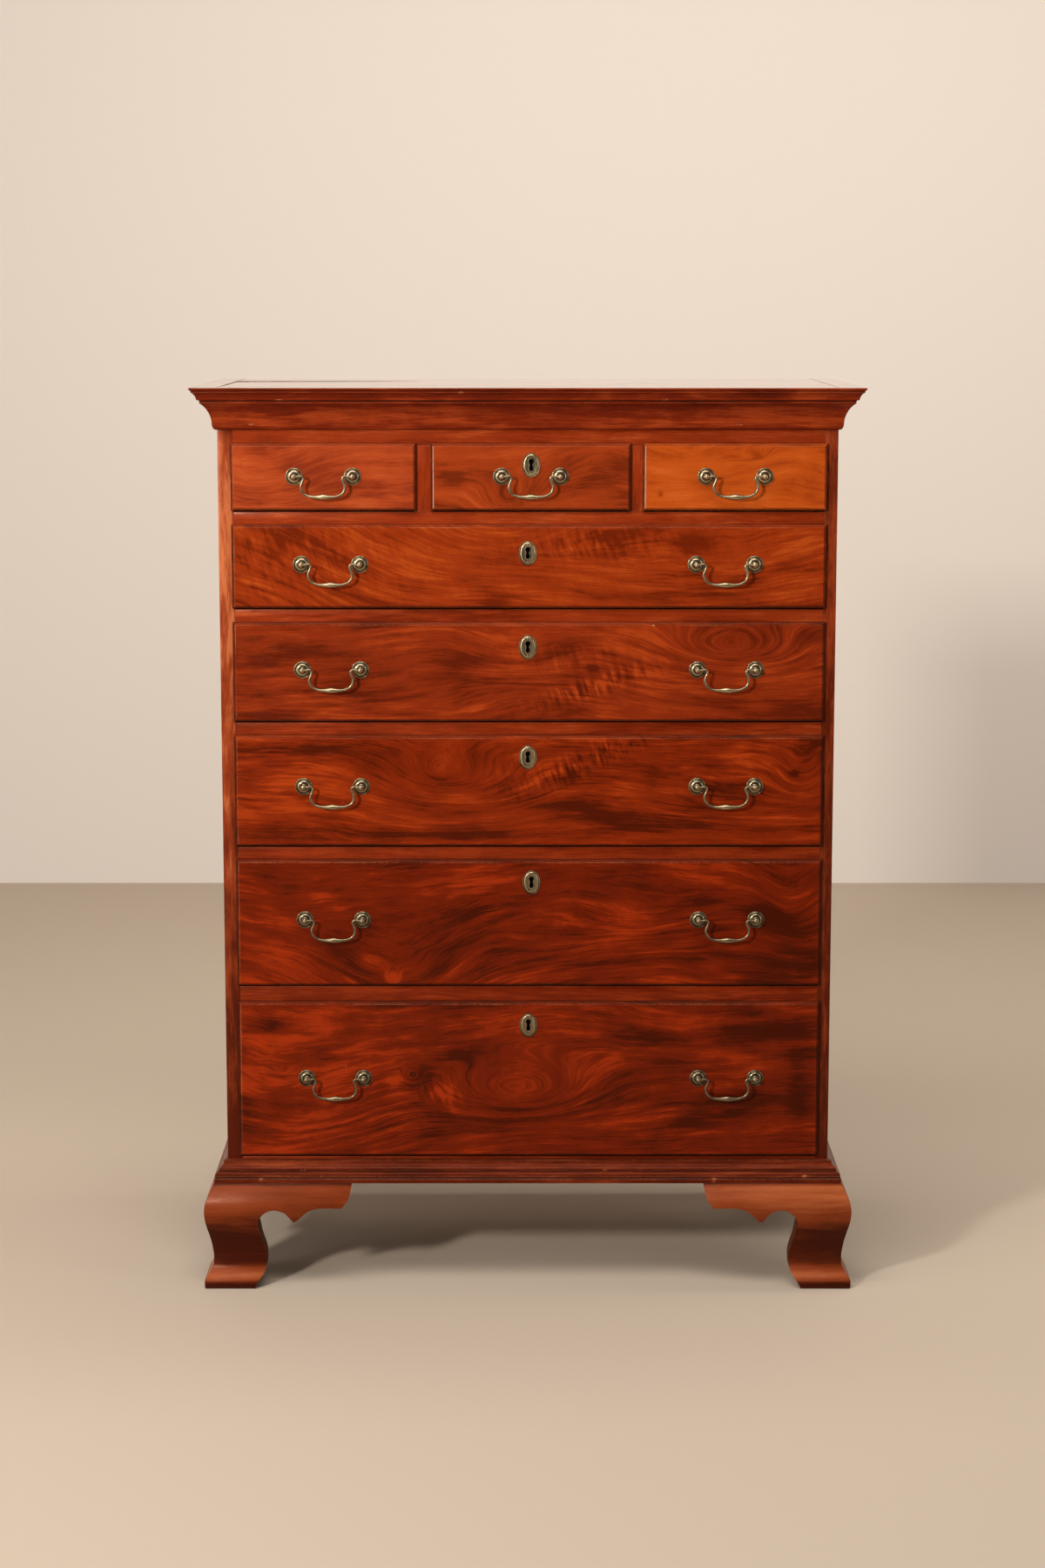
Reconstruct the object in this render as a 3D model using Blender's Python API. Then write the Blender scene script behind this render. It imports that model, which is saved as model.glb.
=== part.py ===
"""A tall chest of drawers on ogee bracket feet: three small drawers over five long graduated ones.

Metres, +Z up, front towards -Y. The origin is on the floor under the middle of the whole chest.
"""

import math

import bmesh
import bpy

# Case boards
CASE_WIDTH = 0.934
CASE_DEPTH = 0.4965
LEFT_SIDE = 0.0225
RIGHT_SIDE = 0.0190
TOP_BOARD = 0.0200
BOTTOM_BOARD = 0.0200
BOARD_SHOWING = 0.0034
BACK_BOARD = 0.0120
BACK_SEAM = 0.7600
BACK_SEAM_GAP = 0.0006
TOP_RAIL = 0.0665
TOP_RAIL_THICKNESS = 0.0220
RAIL_DEPTH = 0.0750
DUSTBOARD = 0.0120
DADO_DEPTH = 0.0070
DADO_STOP = 0.0200
REBATE_WIDTH = 0.0100

# Rows of drawers, from the top: openings, the rails under all but the last, partitions in the top row
OPENING_HEIGHTS = (0.1000, 0.1255, 0.1510, 0.1705, 0.1965, 0.2445)
RAIL_HEIGHTS = (0.0220, 0.0219, 0.0220, 0.0217, 0.0260)
PARTITION_CENTRES = (-0.1570, 0.1643)
PARTITION_THICKNESSES = (0.0280, 0.0240)

# Mouldings: projection from the case, height, and the section as shares of the two
CORNICE_OUT = 0.0385
CORNICE_HEIGHT = 0.0633
CORNICE_SECTION = (
    (0.0, 0.0), (0.07, 0.005), (0.14, 0.04), (0.18, 0.10), (0.19, 0.14), (0.205, 0.23), (0.245, 0.33),
    (0.31, 0.42), (0.39, 0.50), (0.50, 0.575), (0.62, 0.635), (0.625, 0.70), (0.73, 0.715), (0.77, 0.79),
    (0.85, 0.865), (0.92, 0.905), (0.93, 0.935), (0.99, 0.96), (1.0, 1.0),
)
BASE_OUT = 0.0200
BASE_HEIGHT = 0.0348
BASE_SECTION = (
    (1.0, 0.0), (1.0, 0.20), (0.94, 0.23), (0.94, 0.33), (0.875, 0.44), (0.72, 0.50), (0.64, 0.52),
    (0.64, 0.56), (0.52, 0.665), (0.36, 0.77), (0.29, 0.88), (0.275, 0.975), (0.0, 1.0),
)

# Feet: the ogee as shares of projection and height, the scroll as shares of bracket length and height
FOOT_HEIGHT = 0.1650
FOOT_OUT = 0.0355
FOOT_INSIDE = 0.0080
FOOT_OGEE = (
    (0.563, 1.0), (0.765, 0.92), (0.93, 0.835), (0.99, 0.75), (0.96, 0.667), (0.893, 0.60), (0.727, 0.467),
    (0.625, 0.34), (0.614, 0.27), (0.634, 0.203), (0.775, 0.145), (0.944, 0.088), (1.0, 0.048),
    (0.99, 0.018), (0.93, 0.0),
)
BRACKET_LENGTH = 0.1940
BRACKET_SCROLL = (
    (1.0, 1.0), (0.985, 0.91), (0.964, 0.845), (0.918, 0.78), (0.72, 0.777), (0.65, 0.752), (0.593, 0.694),
    (0.556, 0.652), (0.536, 0.645), (0.50, 0.688), (0.461, 0.735), (0.397, 0.761), (0.334, 0.755),
    (0.28, 0.712), (0.247, 0.648), (0.258, 0.57), (0.27, 0.495), (0.305, 0.365), (0.313, 0.271),
    (0.30, 0.164), (0.25, 0.077), (0.216, 0.0),
)
REAR_BRACKET_LENGTH = 0.1200
REAR_BRACKET = 0.0200
REAR_BRACKET_SCROLL = ((1.0, 1.0), (0.96, 0.80), (0.80, 0.66), (0.52, 0.50), (0.42, 0.30), (0.40, 0.0))
GLUE_BLOCK = 0.0320
GLUE_BLOCK_RISE = 0.0040
STRIP_BLOCK = 0.0180
STRIP_BLOCK_LENGTH = 0.0900

# Drawers
LIP = 0.0030
PROUD = 0.0070
THUMB_MOULD = 0.0040
FRONT_IN_OPENING = 0.0150
FRONT_UNDER = 0.0010
DRAWER_SIDE_CLEARANCE = 0.0015
DRAWER_TOP_CLEARANCE = 0.0020
DRAWER_REAR_CLEARANCE = 0.0120
BOX_BELOW_OPENING = 0.0080
BOX_SIDE = 0.0110
BOX_BACK = 0.0100
BOX_BOTTOM = 0.0080
BOX_BOTTOM_RAISED = 0.0060

# Brass pulls: places, then the turned rosette and post as (radius, distance off the drawer's face)
PULL_HEIGHTS = (0.0538, 0.0690, 0.0819, 0.0952, 0.1062, 0.1266)
LEFT_PULL = -0.2980
RIGHT_PULLS = (0.2984, 0.3015, 0.3024, 0.3063, 0.3080)
PULL_BORE = 0.0880
PULL_AXIS_OUT = 0.0125
ROSETTE_RADIUS = 0.0130
ROSETTE_EDGE = 0.0009
DOME_RADIUS = 0.0100
DOME_FOOT = 0.0020
DOME_TOP = 0.0044
POST_RADIUS = 0.0043
POST_PAST_AXIS = 0.0036
POST_BUTTON = 0.0022
BUTTON_TOP = 0.0014
BRASS_SET_IN = 0.0010
PIN_HOLE_RADIUS = 0.0024
BAIL_WIRE = 0.0040
BAIL_GRIP = 0.0066
BAIL_DROP = 0.0308
# Half of a bail, from the pin to the middle: shares of the half bore and of the drop, and of the swell
BAIL_SHAPE = (
    (1.01, 0.0, 0.0), (0.85, 0.0, 0.0), (0.77, -0.03, 0.0), (0.69, 0.05, 0.0), (0.668, 0.20, 0.0),
    (0.69, 0.41, 0.0), (0.70, 0.56, 0.0), (0.665, 0.73, 0.05), (0.575, 0.86, 0.15), (0.40, 0.955, 0.35),
    (0.18, 0.99, 0.85), (0.0, 1.0, 1.0),
)

# Keyhole plates: how far under each opening's top, and their offset from the case's middle
KEYHOLE_DROPS = (0.0293, 0.0395, 0.0348, 0.0306, 0.0322, 0.0341)
KEYHOLE_CENTRES = (0.0050, 0.0, 0.0, 0.0, 0.0056, 0.0010)
PLATE_WIDTH = 0.0275
PLATE_HEIGHT = 0.0370
PLATE_THICKNESS = 0.0014
KEYHOLE_ROUND = 0.0038
KEYHOLE_NECK = 0.0022
KEYHOLE_SKIRT = 0.0033
KEYHOLE_HEIGHT = 0.0200
KEYHOLE_DEPTH = 0.0080

# Gaps: between glued or resting faces, at each mitred end, and a cutter's length past a surface
SEAT = 0.0003
MITRE = 0.00025
PAST = 0.0100

HALF = CASE_WIDTH / 2
BACK = (CASE_DEPTH + CORNICE_OUT) / 2
FRONT = BACK - CASE_DEPTH
LEFT = LEFT_SIDE - HALF
RIGHT = HALF - RIGHT_SIDE
BACK_FACE = BACK - BACK_BOARD
BASE_UNDER = FOOT_HEIGHT + SEAT
CASE_FLOOR = BASE_UNDER + BASE_HEIGHT + BOARD_SHOWING
CASE_UNDER = CASE_FLOOR - BOTTOM_BOARD
FLOORS = [CASE_FLOOR + sum(OPENING_HEIGHTS[row + 1:]) + sum(RAIL_HEIGHTS[row:]) for row in range(6)]
RAIL_LINE = FLOORS[0] + OPENING_HEIGHTS[0]
TOP_UNDER = RAIL_LINE + TOP_RAIL
TOP = TOP_UNDER + TOP_BOARD
X, Y, Z = range(3)


def finish(name, colour, roughness, metallic=0.0):
    """A material with one colour, for a wood or a metal."""
    made = bpy.data.materials.new(name)
    made.use_nodes = True
    made.diffuse_color = (*colour, 1.0)
    shader = made.node_tree.nodes["Principled BSDF"]
    shader.inputs["Base Color"].default_value = (*colour, 1.0)
    shader.inputs["Roughness"].default_value = roughness
    shader.inputs["Metallic"].default_value = metallic
    return made


def loft(bm, *loops):
    """Skins closed loops of points that have the same count, and caps the first and the last."""
    rings = [[bm.verts.new(point) for point in loop] for loop in loops]
    for ring, following in zip(rings, rings[1:]):
        for i, vert in enumerate(ring):
            bm.faces.new((ring[i - 1], vert, following[i], following[i - 1]))
    bm.faces.new(rings[0])
    bm.faces.new(rings[-1])


def prism(bm, outline, axis, start, end):
    """Extrudes a flat outline along an axis. Its pairs are the other two coordinates, in X, Y, Z order."""
    def at(place):
        return [(*pair[:axis], place, *pair[axis:]) for pair in outline]
    loft(bm, at(start), at(end))


def slab(bm, x, y, z):
    """A board between the two ends given for each axis."""
    prism(bm, [(x[0], y[0]), (x[1], y[0]), (x[1], y[1]), (x[0], y[1])], Z, *z)


def turned(bm, profile, x, y, z, sides):
    """Turns (radius, distance) pairs about a line along -Y, starting and ending on that line."""
    verts = [bm.verts.new((x + radius, y - out, z)) for radius, out in profile]
    edges = [bm.edges.new(pair) for pair in zip(verts, verts[1:])]
    bmesh.ops.spin(bm, geom=verts + edges, cent=(x, y, z), axis=(0, 1, 0), angle=math.tau, steps=sides)
    bmesh.ops.remove_doubles(bm, verts=bm.verts, dist=1e-6)


def oval(width, height, sides):
    """Points round an ellipse."""
    turns = [math.tau * i / sides for i in range(sides)]
    return [(width / 2 * math.cos(turn), height / 2 * math.sin(turn)) for turn in turns]


def mesh_of(name, draw):
    """Runs a function that draws into an empty bmesh, and keeps the result with its faces pointing out."""
    bm = bmesh.new()
    draw(bm)
    bmesh.ops.recalc_face_normals(bm, faces=bm.faces)
    mesh = bpy.data.meshes.new(name)
    bm.to_mesh(mesh)
    bm.free()
    mesh.shade_smooth()
    mesh.set_sharp_from_angle(angle=math.radians(35))
    return mesh


def link(name, data, parent, at):
    obj = bpy.data.objects.new(name, data)
    obj.parent = parent
    obj.location = at
    bpy.context.scene.collection.objects.link(obj)
    return obj


def add(name, material, draw, parent=None, at=(0, 0, 0)):
    """A named piece, drawn about its own origin."""
    obj = link(name, mesh_of(name, draw), parent, at)
    obj.data.materials.append(material)
    return obj


def shape(obj, operation, draw):
    """Cuts a piece with a helper solid, or joins the helper to it. The helper stays as a hidden wire."""
    label = f"{obj.name}_{operation.lower()}_{len(obj.modifiers)}"
    helper = link(label, mesh_of(label, draw), obj.parent, obj.location)
    helper.hide_render = True
    helper.display_type = "WIRE"
    modifier = obj.modifiers.new(operation.title(), "BOOLEAN")
    modifier.operation = operation
    modifier.object = helper


def side_board(name, material, outer, inner):
    """A full-height side with stopped dados for the shelves and a rebate for the back boards."""
    inwards = math.copysign(1, inner - outer)
    cut_x = sorted((inner - inwards * DADO_DEPTH, inner + inwards * PAST))
    rebate_x = sorted((inner - inwards * REBATE_WIDTH, inner + inwards * PAST))
    case_z = (CASE_UNDER, TOP_UNDER - SEAT)
    shelves = [(floor - DUSTBOARD - SEAT, floor + SEAT) for floor in FLOORS[:-1]]
    shelves.append((CASE_UNDER - PAST, CASE_FLOOR + SEAT))

    def dados(bm):
        for shelf in shelves:
            slab(bm, cut_x, (FRONT + DADO_STOP, BACK + PAST), shelf)

    board = add(name, material, lambda bm: slab(bm, sorted((outer, inner)), (FRONT, BACK), case_z))
    shape(board, "DIFFERENCE", dados)
    back_y = (BACK_FACE - SEAT, BACK + PAST)
    shape(board, "DIFFERENCE", lambda bm: slab(bm, rebate_x, back_y, (CASE_UNDER - PAST, TOP)))


def tongued_outline(end):
    """Plan of a shelf that ends at a depth: narrow where the dados are stopped, then wide enough to fill them."""
    stop = FRONT + DADO_STOP + SEAT
    narrow = (LEFT + SEAT, RIGHT - SEAT)
    wide = (LEFT - DADO_DEPTH + SEAT, RIGHT + DADO_DEPTH - SEAT)
    return [
        (narrow[0], FRONT), (narrow[1], FRONT), (narrow[1], stop), (wide[1], stop),
        (wide[1], end), (wide[0], end), (wide[0], stop), (narrow[0], stop),
    ]


def case(mahogany, pine):
    side_board("left_side", mahogany, -HALF, LEFT)
    side_board("right_side", mahogany, HALF, RIGHT)
    add("top_board", mahogany, lambda bm: slab(bm, (-HALF, HALF), (FRONT, BACK), (TOP_UNDER, TOP)))
    shelf_end = BACK_FACE - SEAT
    add("bottom_board", pine, lambda bm: prism(bm, tongued_outline(shelf_end), Z, CASE_UNDER, CASE_FLOOR))

    back_x = (LEFT - REBATE_WIDTH + SEAT, RIGHT + REBATE_WIDTH - SEAT)
    for name, z in (
        ("lower_back_board", (CASE_UNDER, BACK_SEAM)),
        ("upper_back_board", (BACK_SEAM + BACK_SEAM_GAP, TOP_UNDER - SEAT)),
    ):
        add(name, pine, lambda bm: slab(bm, back_x, (BACK_FACE, BACK), z))

    rail_x = (LEFT + SEAT, RIGHT - SEAT)
    top_rail_y = (FRONT, FRONT + TOP_RAIL_THICKNESS)
    add("top_rail", mahogany, lambda bm: slab(bm, rail_x, top_rail_y, (RAIL_LINE, TOP_UNDER - SEAT)))
    dustboard_x = (LEFT - DADO_DEPTH + SEAT, RIGHT + DADO_DEPTH - SEAT)
    dustboard_y = (FRONT + RAIL_DEPTH + SEAT, shelf_end)
    for row, (floor, height) in enumerate(zip(FLOORS, RAIL_HEIGHTS), start=1):
        tongued = tongued_outline(FRONT + RAIL_DEPTH)
        rail = add(f"rail_{row}", mahogany, lambda bm: prism(bm, tongued, Z, floor - DUSTBOARD, floor))
        under = (floor - height, floor - DUSTBOARD / 2)
        shape(rail, "UNION", lambda bm: slab(bm, rail_x, (FRONT, FRONT + RAIL_DEPTH), under))
        add(f"dustboard_{row}", pine, lambda bm: slab(bm, dustboard_x, dustboard_y, (floor - DUSTBOARD, floor)))

    behind_rail = FRONT + TOP_RAIL_THICKNESS + SEAT
    notched = [
        (FRONT, FLOORS[0] + SEAT), (shelf_end, FLOORS[0] + SEAT), (shelf_end, TOP_UNDER - SEAT),
        (behind_rail, TOP_UNDER - SEAT), (behind_rail, RAIL_LINE - SEAT), (FRONT, RAIL_LINE - SEAT),
    ]
    for name, centre, thickness in zip(("left", "right"), PARTITION_CENTRES, PARTITION_THICKNESSES):
        ends = (centre - thickness / 2, centre + thickness / 2)
        add(f"partition_{name}", mahogany, lambda bm: prism(bm, notched, X, *ends))


def on_case(face, out, along, z):
    """A point a distance out from one face of the case, and along it."""
    if face == "front":
        return (along, FRONT - out, z)
    return (math.copysign(HALF + out, -1 if face == "left" else 1), along, z)


def run(bm, face, section, start, end):
    """A length of moulding along one face, whose ends are given as functions of the distance out."""
    loft(bm, *([on_case(face, out, place(out), z) for out, z in section] for place in (start, end)))


def corner(out):
    """Where a side moulding meets the front one, mitred."""
    return FRONT - out + MITRE


def mouldings(name, material, section):
    """The same section on the front and both sides, mitred at the front corners."""
    def front_end(out):
        return HALF + out - MITRE
    add(f"{name}_front", material, lambda bm: run(bm, "front", section, lambda out: -front_end(out), front_end))
    for face in ("left", "right"):
        add(f"{name}_{face}", material, lambda bm: run(bm, face, section, corner, lambda out: BACK))


def moulding_section(shares, out, height, under):
    """Real (distance out, height) points, closed by a flat glued face a small gap off the case."""
    outer = [(max(share * out, SEAT), under + rise * height) for share, rise in shares]
    return outer + [(SEAT, z) for z in (under + height, under) if (SEAT, z) not in outer]


def scroll(shares, length, at, inwards):
    """Elevation of a bracket, from the corner of the case inwards, carried past its outer end and both edges."""
    cut = [(at + inwards * share * length, rise * FOOT_HEIGHT) for share, rise in shares]
    outer = at - inwards * (FOOT_OUT + PAST)
    low, high = -PAST, FOOT_HEIGHT + PAST
    return [(outer, high), (cut[0][0], high), *cut, (cut[-1][0], low), (outer, low)]


def feet(material):
    """Ogee bracket feet: two mitred brackets at each front corner, one bracket and a plain rear one behind."""
    ogee = [(share * FOOT_OUT, rise * FOOT_HEIGHT) for share, rise in FOOT_OGEE]
    ogee += [(-FOOT_INSIDE, 0.0), (-FOOT_INSIDE, FOOT_HEIGHT)]
    block_z = (GLUE_BLOCK_RISE, CASE_UNDER - SEAT)
    through = (FRONT - FOOT_OUT - PAST, FRONT + FOOT_INSIDE + PAST)
    for name, hand in (("left", -1), ("right", 1)):
        case_edge = hand * HALF
        inner = case_edge - hand * FOOT_INSIDE

        def mitred(out):
            return hand * (HALF + out - MITRE)

        def square(out):
            return hand * (HALF - BRACKET_LENGTH - PAST)

        front = add(f"front_bracket_{name}", material, lambda bm: run(bm, "front", ogee, mitred, square))
        outline = scroll(BRACKET_SCROLL, BRACKET_LENGTH, case_edge, -hand)
        shape(front, "INTERSECT", lambda bm: prism(bm, outline, Y, *through))
        strip_start = inner - hand * (GLUE_BLOCK + SEAT)
        strip_x = sorted((strip_start, strip_start - hand * STRIP_BLOCK_LENGTH))
        strip_y = (FRONT + FOOT_INSIDE - SEAT, FRONT + FOOT_INSIDE + STRIP_BLOCK)
        strip_z = (FOOT_HEIGHT - STRIP_BLOCK, CASE_UNDER - SEAT)
        shape(front, "UNION", lambda bm: slab(bm, strip_x, strip_y, strip_z))

        side_x = sorted((hand * (HALF + FOOT_OUT + PAST), inner - hand * PAST))
        block_x = sorted((inner + hand * SEAT, inner - hand * GLUE_BLOCK))
        side = add(
            f"side_bracket_{name}", material,
            lambda bm: run(bm, name, ogee, corner, lambda out: FRONT + BRACKET_LENGTH + PAST),
        )
        side_outline = scroll(BRACKET_SCROLL, BRACKET_LENGTH, FRONT, 1)
        shape(side, "INTERSECT", lambda bm: prism(bm, side_outline, X, *side_x))
        block_y = (FRONT + FOOT_INSIDE + SEAT, FRONT + FOOT_INSIDE + GLUE_BLOCK)
        shape(side, "UNION", lambda bm: slab(bm, block_x, block_y, block_z))

        rear = add(
            f"rear_foot_{name}", material,
            lambda bm: run(bm, name, ogee, lambda out: BACK - BRACKET_LENGTH - PAST, lambda out: BACK),
        )
        rear_outline = scroll(BRACKET_SCROLL, BRACKET_LENGTH, BACK, -1)
        shape(rear, "INTERSECT", lambda bm: prism(bm, rear_outline, X, *side_x))
        plain = [
            (case_edge - hand * max(share * REAR_BRACKET_LENGTH, FOOT_INSIDE), rise * FOOT_HEIGHT)
            for share, rise in REAR_BRACKET_SCROLL
        ]
        plain += [(inner + hand * SEAT, 0.0), (inner + hand * SEAT, FOOT_HEIGHT)]
        shape(rear, "UNION", lambda bm: prism(bm, plain, Y, BACK - REAR_BRACKET, BACK))
        rear_block_y = (BACK - REAR_BRACKET - GLUE_BLOCK, BACK - REAR_BRACKET + SEAT)
        shape(rear, "UNION", lambda bm: slab(bm, block_x, rear_block_y, block_z))


def bail_curve(material):
    """The swan-neck bail as one bent wire that swells at the grip, drawn about its pins' axis."""
    half = [(share * PULL_BORE / 2, -drop * BAIL_DROP, swell) for share, drop, swell in BAIL_SHAPE]
    points = half + [(-x, z, swell) for x, z, swell in reversed(half[:-1])]
    curve = bpy.data.curves.new("bail", "CURVE")
    curve.dimensions = "3D"
    curve.bevel_depth = BAIL_WIRE / 2
    curve.bevel_resolution = 1
    curve.use_fill_caps = True
    spline = curve.splines.new("POLY")
    spline.points.add(len(points) - 1)
    for point, (x, z, swell) in zip(spline.points, points):
        point.co = (x, 0, z, 1)
        point.radius = 1 + swell * (BAIL_GRIP / BAIL_WIRE - 1)
    curve.materials.append(material)
    return curve


def keyhole(x, z):
    """A round eye over a flared skirt."""
    top = z + KEYHOLE_HEIGHT / 2 - KEYHOLE_ROUND
    foot = z - KEYHOLE_HEIGHT / 2
    sweep = [math.radians(-50 + 40 * i) for i in range(8)]
    eye = [(x + KEYHOLE_ROUND * math.cos(turn), top + KEYHOLE_ROUND * math.sin(turn)) for turn in sweep]
    middle = (top + foot) / 2
    return eye + [
        (x - KEYHOLE_NECK, middle), (x - KEYHOLE_SKIRT, foot), (x + KEYHOLE_SKIRT, foot), (x + KEYHOLE_NECK, middle),
    ]


def drawer(name, opening, pulls, plate, woods, brass, bail):
    """A drawer at home in its opening, drawn about the middle of the opening's front lower edge.

    opening is (left, right, floor, height), pulls are (name, x, z), and plate is the keyhole's (x, z) or None.
    """
    left, right, floor, height = opening
    centre = (left + right) / 2
    half = (right - left) / 2
    body_x = (DRAWER_SIDE_CLEARANCE - half, half - DRAWER_SIDE_CLEARANCE)
    face = -PROUD
    posts = [(x - centre + side * PULL_BORE / 2, z - floor) for _, x, z in pulls for side in (-1, 1)]

    home = bpy.data.objects.new(f"drawer_{name}", None)
    home.location = (centre, FRONT, floor)
    bpy.context.scene.collection.objects.link(home)

    def lipped(bm):
        slab(bm, (-half - LIP, half + LIP), (face, -SEAT), (FRONT_UNDER, height + LIP))
        rim = [edge for edge in bm.edges if all(vert.co.y < face + SEAT for vert in edge.verts)]
        bmesh.ops.bevel(bm, geom=rim, offset=THUMB_MOULD, segments=2, profile=0.5, affect="EDGES")

    front = add(f"drawer_front_{name}", woods[0], lipped, home)
    body_y = (face + THUMB_MOULD, FRONT_IN_OPENING)
    body_z = (FRONT_UNDER + SEAT, height - DRAWER_TOP_CLEARANCE)
    shape(front, "UNION", lambda bm: slab(bm, body_x, body_y, body_z))

    def fittings(bm):
        profile = (
            (0, -BRASS_SET_IN), (ROSETTE_RADIUS, -BRASS_SET_IN), (ROSETTE_RADIUS, ROSETTE_EDGE),
            (DOME_RADIUS, DOME_FOOT), (POST_RADIUS, DOME_TOP), (POST_RADIUS, PULL_AXIS_OUT + POST_PAST_AXIS),
            (POST_BUTTON, PULL_AXIS_OUT + POST_PAST_AXIS + BUTTON_TOP),
            (0, PULL_AXIS_OUT + POST_PAST_AXIS + BUTTON_TOP),
        )
        for x, z in posts:
            turned(bm, profile, x, face, z, sides=12)
    shape(front, "UNION", fittings)

    def pin_holes(bm):
        for x, z in posts:
            ends = (x - POST_RADIUS - SEAT, x + POST_RADIUS + SEAT)
            circle = oval(2 * PIN_HOLE_RADIUS, 2 * PIN_HOLE_RADIUS, 8)
            prism(bm, [(face - PULL_AXIS_OUT + y, z + up) for y, up in circle], X, *ends)
    shape(front, "DIFFERENCE", pin_holes)

    if plate:
        x, z = plate[0] - centre, plate[1] - floor
        rim = [(x + a, z + b) for a, b in oval(PLATE_WIDTH, PLATE_HEIGHT, 16)]
        plate_y = (face - PLATE_THICKNESS, face + BRASS_SET_IN)
        shape(front, "UNION", lambda bm: prism(bm, rim, Y, *plate_y))
        hole_y = (face - PLATE_THICKNESS - SEAT, face + KEYHOLE_DEPTH)
        shape(front, "DIFFERENCE", lambda bm: prism(bm, keyhole(x, z), Y, *hole_y))

    box_y = (FRONT_IN_OPENING + SEAT, CASE_DEPTH - BACK_BOARD - DRAWER_REAR_CLEARANCE)
    box_z = (SEAT, height - BOX_BELOW_OPENING)
    panel_z = (SEAT + BOX_BOTTOM_RAISED, SEAT + BOX_BOTTOM_RAISED + BOX_BOTTOM)
    inside_x = (body_x[0] + BOX_SIDE, body_x[1] - BOX_SIDE)
    box = add(f"drawer_box_{name}", woods[1], lambda bm: slab(bm, body_x, box_y, box_z), home)
    pocket_y = (box_y[0] - PAST, box_y[1] - BOX_BACK)
    shape(box, "DIFFERENCE", lambda bm: slab(bm, inside_x, pocket_y, (panel_z[1], height + PAST)))
    under_y = (box_y[0] - PAST, box_y[1] + PAST)
    shape(box, "DIFFERENCE", lambda bm: slab(bm, inside_x, under_y, (-PAST, panel_z[0])))

    for pull, x, z in pulls:
        link(f"bail_{pull}", bail, home, (x - centre, face - PULL_AXIS_OUT, z - floor))


def drawers(woods, light_woods, brass):
    bail = bail_curve(brass)
    edges = [LEFT]
    for centre, thickness in zip(PARTITION_CENTRES, PARTITION_THICKNESSES):
        edges += [centre - thickness / 2, centre + thickness / 2]
    edges.append(RIGHT)
    for i, name in enumerate(("top_left", "top_middle", "top_right")):
        left, right = edges[2 * i], edges[2 * i + 1]
        pulls = [(name, (left + right) / 2, FLOORS[0] + PULL_HEIGHTS[0])]
        plate = (KEYHOLE_CENTRES[0], RAIL_LINE - KEYHOLE_DROPS[0]) if name == "top_middle" else None
        opening = (left, right, FLOORS[0], OPENING_HEIGHTS[0])
        drawer(name, opening, pulls, plate, light_woods if name == "top_right" else woods, brass, bail)
    for row in range(1, len(FLOORS)):
        floor, height = FLOORS[row], OPENING_HEIGHTS[row]
        pull_z = floor + PULL_HEIGHTS[row]
        pulls = [(f"{row + 1}_left", LEFT_PULL, pull_z), (f"{row + 1}_right", RIGHT_PULLS[row - 1], pull_z)]
        plate = (KEYHOLE_CENTRES[row], floor + height - KEYHOLE_DROPS[row])
        drawer(f"{row + 1}", (LEFT, RIGHT, floor, height), pulls, plate, woods, brass, bail)


for leftover in list(bpy.data.objects):
    bpy.data.objects.remove(leftover)

red_mahogany = finish("red_mahogany", (0.24, 0.045, 0.012), 0.32)
light_mahogany = finish("light_mahogany", (0.42, 0.12, 0.022), 0.34)
foot_mahogany = finish("foot_mahogany", (0.33, 0.10, 0.035), 0.36)
pine_boards = finish("pine", (0.45, 0.30, 0.16), 0.65)
old_brass = finish("old_brass", (0.33, 0.25, 0.13), 0.38, metallic=1.0)

case(red_mahogany, pine_boards)
cornice_section = moulding_section(CORNICE_SECTION, CORNICE_OUT, CORNICE_HEIGHT, TOP - CORNICE_HEIGHT)
mouldings("cornice", red_mahogany, cornice_section)
mouldings("base_moulding", red_mahogany, moulding_section(BASE_SECTION, BASE_OUT, BASE_HEIGHT, BASE_UNDER))
feet(foot_mahogany)
drawers((red_mahogany, pine_boards), (light_mahogany, pine_boards), old_brass)
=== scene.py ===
import math

import bmesh
import bpy
from mathutils import Matrix, Vector, noise


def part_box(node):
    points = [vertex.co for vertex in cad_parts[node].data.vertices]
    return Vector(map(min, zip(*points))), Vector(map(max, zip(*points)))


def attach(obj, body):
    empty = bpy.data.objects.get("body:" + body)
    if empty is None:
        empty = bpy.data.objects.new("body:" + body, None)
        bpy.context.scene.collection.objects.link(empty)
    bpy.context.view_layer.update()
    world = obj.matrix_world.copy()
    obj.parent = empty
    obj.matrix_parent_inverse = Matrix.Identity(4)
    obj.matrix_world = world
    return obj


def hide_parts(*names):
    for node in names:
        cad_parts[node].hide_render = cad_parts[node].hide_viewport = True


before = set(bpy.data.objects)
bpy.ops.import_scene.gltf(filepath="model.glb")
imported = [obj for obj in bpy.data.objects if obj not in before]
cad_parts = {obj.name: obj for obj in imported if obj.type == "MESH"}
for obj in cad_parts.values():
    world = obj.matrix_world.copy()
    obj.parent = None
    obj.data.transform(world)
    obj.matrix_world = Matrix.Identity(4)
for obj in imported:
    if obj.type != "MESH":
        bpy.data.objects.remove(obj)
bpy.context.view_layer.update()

# Camera. It stands square in front of the chest, a little above its top, and is tipped down at it.
CAMERA_AT = (-0.008, -4.958, 1.529)
CAMERA_TIP = math.radians(8.883)
LENS = 71.9


def place(name, data):
    """Adds an object that holds some data, at the origin."""
    obj = bpy.data.objects.new(name, data)
    bpy.context.scene.collection.objects.link(obj)
    return obj


camera = place("camera", bpy.data.cameras.new("camera"))
camera.data.lens = LENS
camera.location = CAMERA_AT
camera.rotation_euler = (math.pi / 2 - CAMERA_TIP, 0, 0)
bpy.context.scene.camera = camera
bpy.context.scene.view_settings.view_transform = "Standard"

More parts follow.
